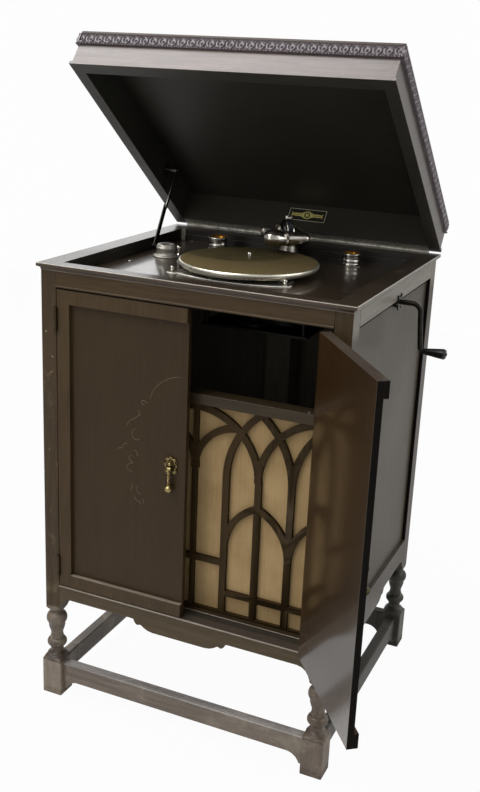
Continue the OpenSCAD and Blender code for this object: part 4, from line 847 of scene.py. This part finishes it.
# ---------------------------------------------------------------- tonearm
ARM_BASE = [(11.1, 0), (29, 0), (29.5, 0.9), (29.2, 2.2), (27.6, 3.5), (22.8, 4.6), (20.6, 6), (19.4, 8.4),
            (17.6, 14), (15.8, 20), (15.6, 21.2), (16.4, 22.2), (16.6, 23.6), (16.2, 25.2), (13, 26),
            (11.1, 26)]
NECK_BULB = [(8.1, 39.6), (11.5, 39.6), (12.0, 41), (13.2, 44), (15.0, 48), (16.6, 52.4), (17.35, 57),
             (17.2, 62), (16.2, 67), (14.0, 71.4), (10.6, 75), (6, 77.3), (0, 78)]
NECK_BEAD = [(11.2, 39.0), (12.9, 39.2), (13.4, 40.2), (12.9, 41.2), (11.6, 41.6)]
KNUCKLE = [(7.4, 34.3), (7.4, 52), (8.6, 54), (9.8, 57.4), (10.2, 61), (10.2, 66), (9.4, 70), (7.4, 73),
           (4, 74.7), (0, 75)]
NECK = "gooseneck"
ELBOW = (98, 0, ARM_Z)
lathe("arm_base_form", ARM_BASE, "nickel_dull", "tonearm_base", (ARM_X, ARM_Y, DECK_Z), caps=False)
lathe("gooseneck_bulb", NECK_BULB, "nickel", NECK, ELBOW, TO_FRONT, ARM)
lathe("gooseneck_bead", NECK_BEAD, "nickel", NECK, ELBOW, TO_FRONT, ARM)
knurl("gooseneck_collar", 13.4, 5.2, "nickel_worn", NECK, (98, -33.6, ARM_Z), TO_FRONT, ARM, 44)
lathe("gooseneck_neck", [(8.3, 0), (8.2, 8), (8.1, 32)], "nickel", NECK, (HEAD_X, -64, ARM_Z + 3), ALONG_X,
      ARM, caps=False)
lathe("gooseneck_knuckle", KNUCKLE, "nickel_dull", NECK, (HEAD_X, 0, HEAD_Z), TO_FRONT, ARM)
knurl("gooseneck_lock_ring", 14.6, 4.8, "nickel_worn", NECK, (HEAD_X, -38.1, HEAD_Z), TO_FRONT, ARM, 40, 0.5)


# ---------------------------------------------------------------- soundbox, on an axis along y
def head_part(name, prof, mat, seg=64):
    lathe(name, prof, mat, "soundbox", (HEAD_X, HEAD_Y, HEAD_Z), ALONG_Y, ARM, seg=seg, caps=False)


head_part("soundbox_housing", [(4, 0), (16.4, 0), (17.4, 0.8), (18.2, 3.2), (20, 4.4), (22, 5.2)],
          "lacquer_black")
head_part("soundbox_edge", [(21.6, 5.0), (23.2, 5.1), (24, 5.9), (24, 7.2), (23.4, 7.6)], "nickel", 96)
knurl("soundbox_rim", 23.7, 9.8, "enamel_dark", "soundbox", (HEAD_X, HEAD_Y + 7.2, HEAD_Z), ALONG_Y, ARM, 90,
      0.35)
head_part("soundbox_face_ring", [(23.2, 16.8), (22.8, 18.6), (21.6, 19), (20, 18.8), (19.4, 17.6),
                                 (19.3, 15.6)], "nickel")
head_part("soundbox_diaphragm", [(19.4, 15.4), (15, 15.9), (9, 15.4), (4, 15.9), (2.2, 15.8), (2, 18.3),
                                 (0, 18.5)], "nickel_dull")

NEEDLE_ANGLE, BAR_END, BAR_W = 104, 26, 2.6


def on_box(a, b, h):
    """A point on the soundbox: along the needle bar, across it and out of the face."""
    c, s = math.cos(rad(NEEDLE_ANGLE)), math.sin(rad(NEEDLE_ANGLE))
    return (HEAD_X + a * c - b * s, HEAD_Y + h, HEAD_Z + a * s + b * c)


def bar_on_box(name, a0, a1, h0, h1):
    V = [on_box(a, b, h) for h in (h0, h1) for b in (-BAR_W / 2, BAR_W / 2) for a in (a0, a1)]
    finish_mesh(name, bm_of(V, BOX_FACES), "nickel", "soundbox", ARM, 0.3)


bar_on_box("needle_bar", 0, BAR_END, 17.2, 19.0)
bar_on_box("needle_bar_foot", 23.4, BAR_END, 11, 19)
along_bar = Vector(on_box(1, 0, 0)) - Vector(on_box(0, 0, 0))
lathe("needle_chuck", [(0.8, 0), (2.6, 0), (2.6, 5), (0.8, 5)], "nickel", "soundbox", on_box(23.4, 0, 11),
      tuple(along_bar), ARM, seg=28)
lathe("needle_screw", [(1.2, 12.6), (1.2, 17.0), (2.2, 17.4), (3, 18.2), (3, 20.4), (2.2, 21.4), (0, 21.6)],
      "nickel_worn", "soundbox", on_box(BAR_END, 0, 0), ALONG_Y, ARM, seg=28, caps=False)

# ---------------------------------------------------------------- crank
# Straight out of the case, round a bend of 14 mm, down the arm, and round one of 8 mm into the grip.
BEND_X, BEND_R, LOW_R = 304.5, 14, 8
ARM_END_X = BEND_X + BEND_R
rod = [(95, 0, CRANK_Z), (200, 0, CRANK_Z), (290, 0, CRANK_Z), (303, 0, CRANK_Z)]
for k in range(1, 9):
    a = rad(90 * k / 8)
    down = BEND_R * (1 - math.cos(a))
    rod.append((BEND_X + BEND_R * math.sin(a), down * 0.27, CRANK_Z - down))
rod += [(ARM_END_X, 12, 754), (ARM_END_X, 22.2, 721)]
for k in range(1, 7):
    a = rad(90 * k / 6)
    rod.append((ARM_END_X + LOW_R * (1 - math.cos(a)), 22.6 + 2.4 * math.sin(a), 717 - LOW_R * math.sin(a)))
radii = [4.5] * (len(rod) - 6) + [4.5, 4.4, 4.1, 3.7, 3.2, 2.6, 2.5, 2.5]
rod += [(330, GRIP_Y, GRIP_Z), (366.5, GRIP_Y, GRIP_Z)]
tube("crank_rod", rod, radii, "steel_dark", "crank_shaft", seg=28, smooth=60)
lathe("crank_grip_form", [(2.6, 0), (4.6, 0), (4.9, 0.6), (5.3, 3), (5.9, 8), (6.9, 16), (8.0, 25), (8.9, 33),
                          (9.2, 37), (9.0, 39), (8.2, 40.6), (7.2, 41.3), (2.6, 41.4)],
      "lacquer_black", "crank_handle", (323.3, GRIP_Y, GRIP_Z), ALONG_X, caps=False)
TEETH = [(8 if k % 4 < 2 else 6.6, rad(9 * k + 3 * (k % 2))) for k in range(40)]
prism("winding_pinion", [(r * math.cos(a), CRANK_Z + r * math.sin(a)) for r, a in TEETH], 97, 106, "yz",
      "motor_dark", "crank_shaft")
lathe("crank_rod_end", [(0, 0), (2.5, 0), (2.4, 1.1), (1.4, 1.5), (0, 1.6)], "steel_mid", "crank_shaft",
      (365.2, GRIP_Y, GRIP_Z), ALONG_X, seg=24)

# ---------------------------------------------------------------- stage, light, camera
# Name, place, point aimed at, size, watts. The light under the case stands for light off the pale floor.
LIGHTS = (("key_right", (2.4, 0.3, 1.7), (0, 0, 0.6), (2.0, 2.0), 20),
          ("top_soft", (-0.96, -0.63, 2.67), (0, 0, 0.7), (2.2, 1.6), 68),
          ("front_fill", (-1.2, -2.8, 1.6), (0, 0, 0.6), (1.6, 2.0), 14),
          ("back_left", (-2.55, 3.35, 1.76), (0, 0, 0.83), (2.4, 1.6), 20),
          ("under_bounce", (0.0, -0.06, 0.012), (0.0, -0.0601, 1.0), (0.95, 1.0), 0.9),
          ("back_floor", (1.3, 3.0, 2.1), (0.8, 1.9, 0), (1.4, 1.4), 25))
WHITE = (1, 1, 1, 1)
# Camera fitted to the view: place from the case's middle, turns in degrees, and the picture's height,
# the lens and its shifts in pixels.
CAM_AT, CAM_TURN = (0.72928, -1.70366, 1.19529), (23.37, -17.37, 2.54)
VIEW_H, LENS, SHIFT_X, SHIFT_Y = 792, 1036.53, -2.26, -19.89


def floor(sc):
    """A pale floor that takes the object's shadow and is white to the camera."""
    t = Tree(bpy.data.materials.new("floor_pale"))
    diffuse = t.n("ShaderNodeBsdfDiffuse", Color=(0.62, 0.61, 0.6, 1))
    glow = t.n("ShaderNodeEmission", Color=WHITE, Strength=0.99)
    seen = t.math("MULTIPLY", t.n("ShaderNodeLightPath"), 0.97)
    t.end("ShaderNodeOutputMaterial", t.n("ShaderNodeMixShader", i0=seen, i1=diffuse, i2=glow))
    me = bpy.data.meshes.new("floor")
    me.from_pydata([(-4, -5, 0), (4, -5, 0), (4, 3, 0), (-4, 3, 0)], [], [(0, 1, 2, 3)])
    me.materials.append(t.block)
    fl = bpy.data.objects.new("floor", me)
    sc.collection.objects.link(fl)


def world(sc):
    """White to the camera, and a soft grey that is lighter toward the right for everything else."""
    t = Tree(bpy.data.worlds.new("studio"))
    x = t.xyz(t.n("ShaderNodeTexCoord"))[0]
    level = t.n("ShaderNodeMapRange", i0=x, i1=-1.0, i2=1.0, i3=0.30, i4=0.62)
    lit = t.n("ShaderNodeBackground", Color=WHITE, Strength=level)
    seen = t.n("ShaderNodeBackground", Color=WHITE, Strength=0.985)
    camera_ray = t.n("ShaderNodeLightPath")
    sc.world = t.end("ShaderNodeOutputWorld", t.n("ShaderNodeMixShader", i0=camera_ray, i1=lit, i2=seen))


def area(sc, name, loc, aim, size, power):
    li = bpy.data.lights.new(name, "AREA")
    li.shape = "RECTANGLE"
    li.size, li.size_y = size
    li.energy = power
    ob = bpy.data.objects.new(name, li)
    sc.collection.objects.link(ob)
    ob.location = loc
    ob.visible_camera = False
    ob.rotation_euler = (Vector(aim) - Vector(loc)).to_track_quat("-Z", "Y").to_euler()


def camera(sc):
    yaw, pitch, roll = (rad(a) for a in CAM_TURN)
    forward = Vector((-math.sin(yaw) * math.cos(pitch), math.cos(yaw) * math.cos(pitch), math.sin(pitch)))
    right = Vector((math.cos(yaw), math.sin(yaw), 0))
    up = right.cross(forward)
    x_axis = math.cos(roll) * right + math.sin(roll) * up
    y_axis = -math.sin(roll) * right + math.cos(roll) * up
    m = Matrix((x_axis, y_axis, -forward)).transposed().to_4x4()
    m.translation = Vector((CAM_AT[0] + CAB_X, CAM_AT[1] + CAB_Y, CAM_AT[2]))
    cam = bpy.data.cameras.new("photo_camera")
    cam.sensor_fit = "VERTICAL"
    cam.sensor_height = 36
    cam.lens = LENS * cam.sensor_height / VIEW_H
    cam.shift_x = SHIFT_X / VIEW_H
    cam.shift_y = SHIFT_Y / VIEW_H
    cam.clip_start = 0.05
    ob = bpy.data.objects.new("photo_camera", cam)
    sc.collection.objects.link(ob)
    ob.matrix_world = m
    sc.camera = ob


scene = bpy.context.scene
floor(scene)
world(scene)
for row in LIGHTS:
    area(scene, *row)
camera(scene)
scene.view_settings.view_transform = "Standard"
scene.view_settings.look = "None"
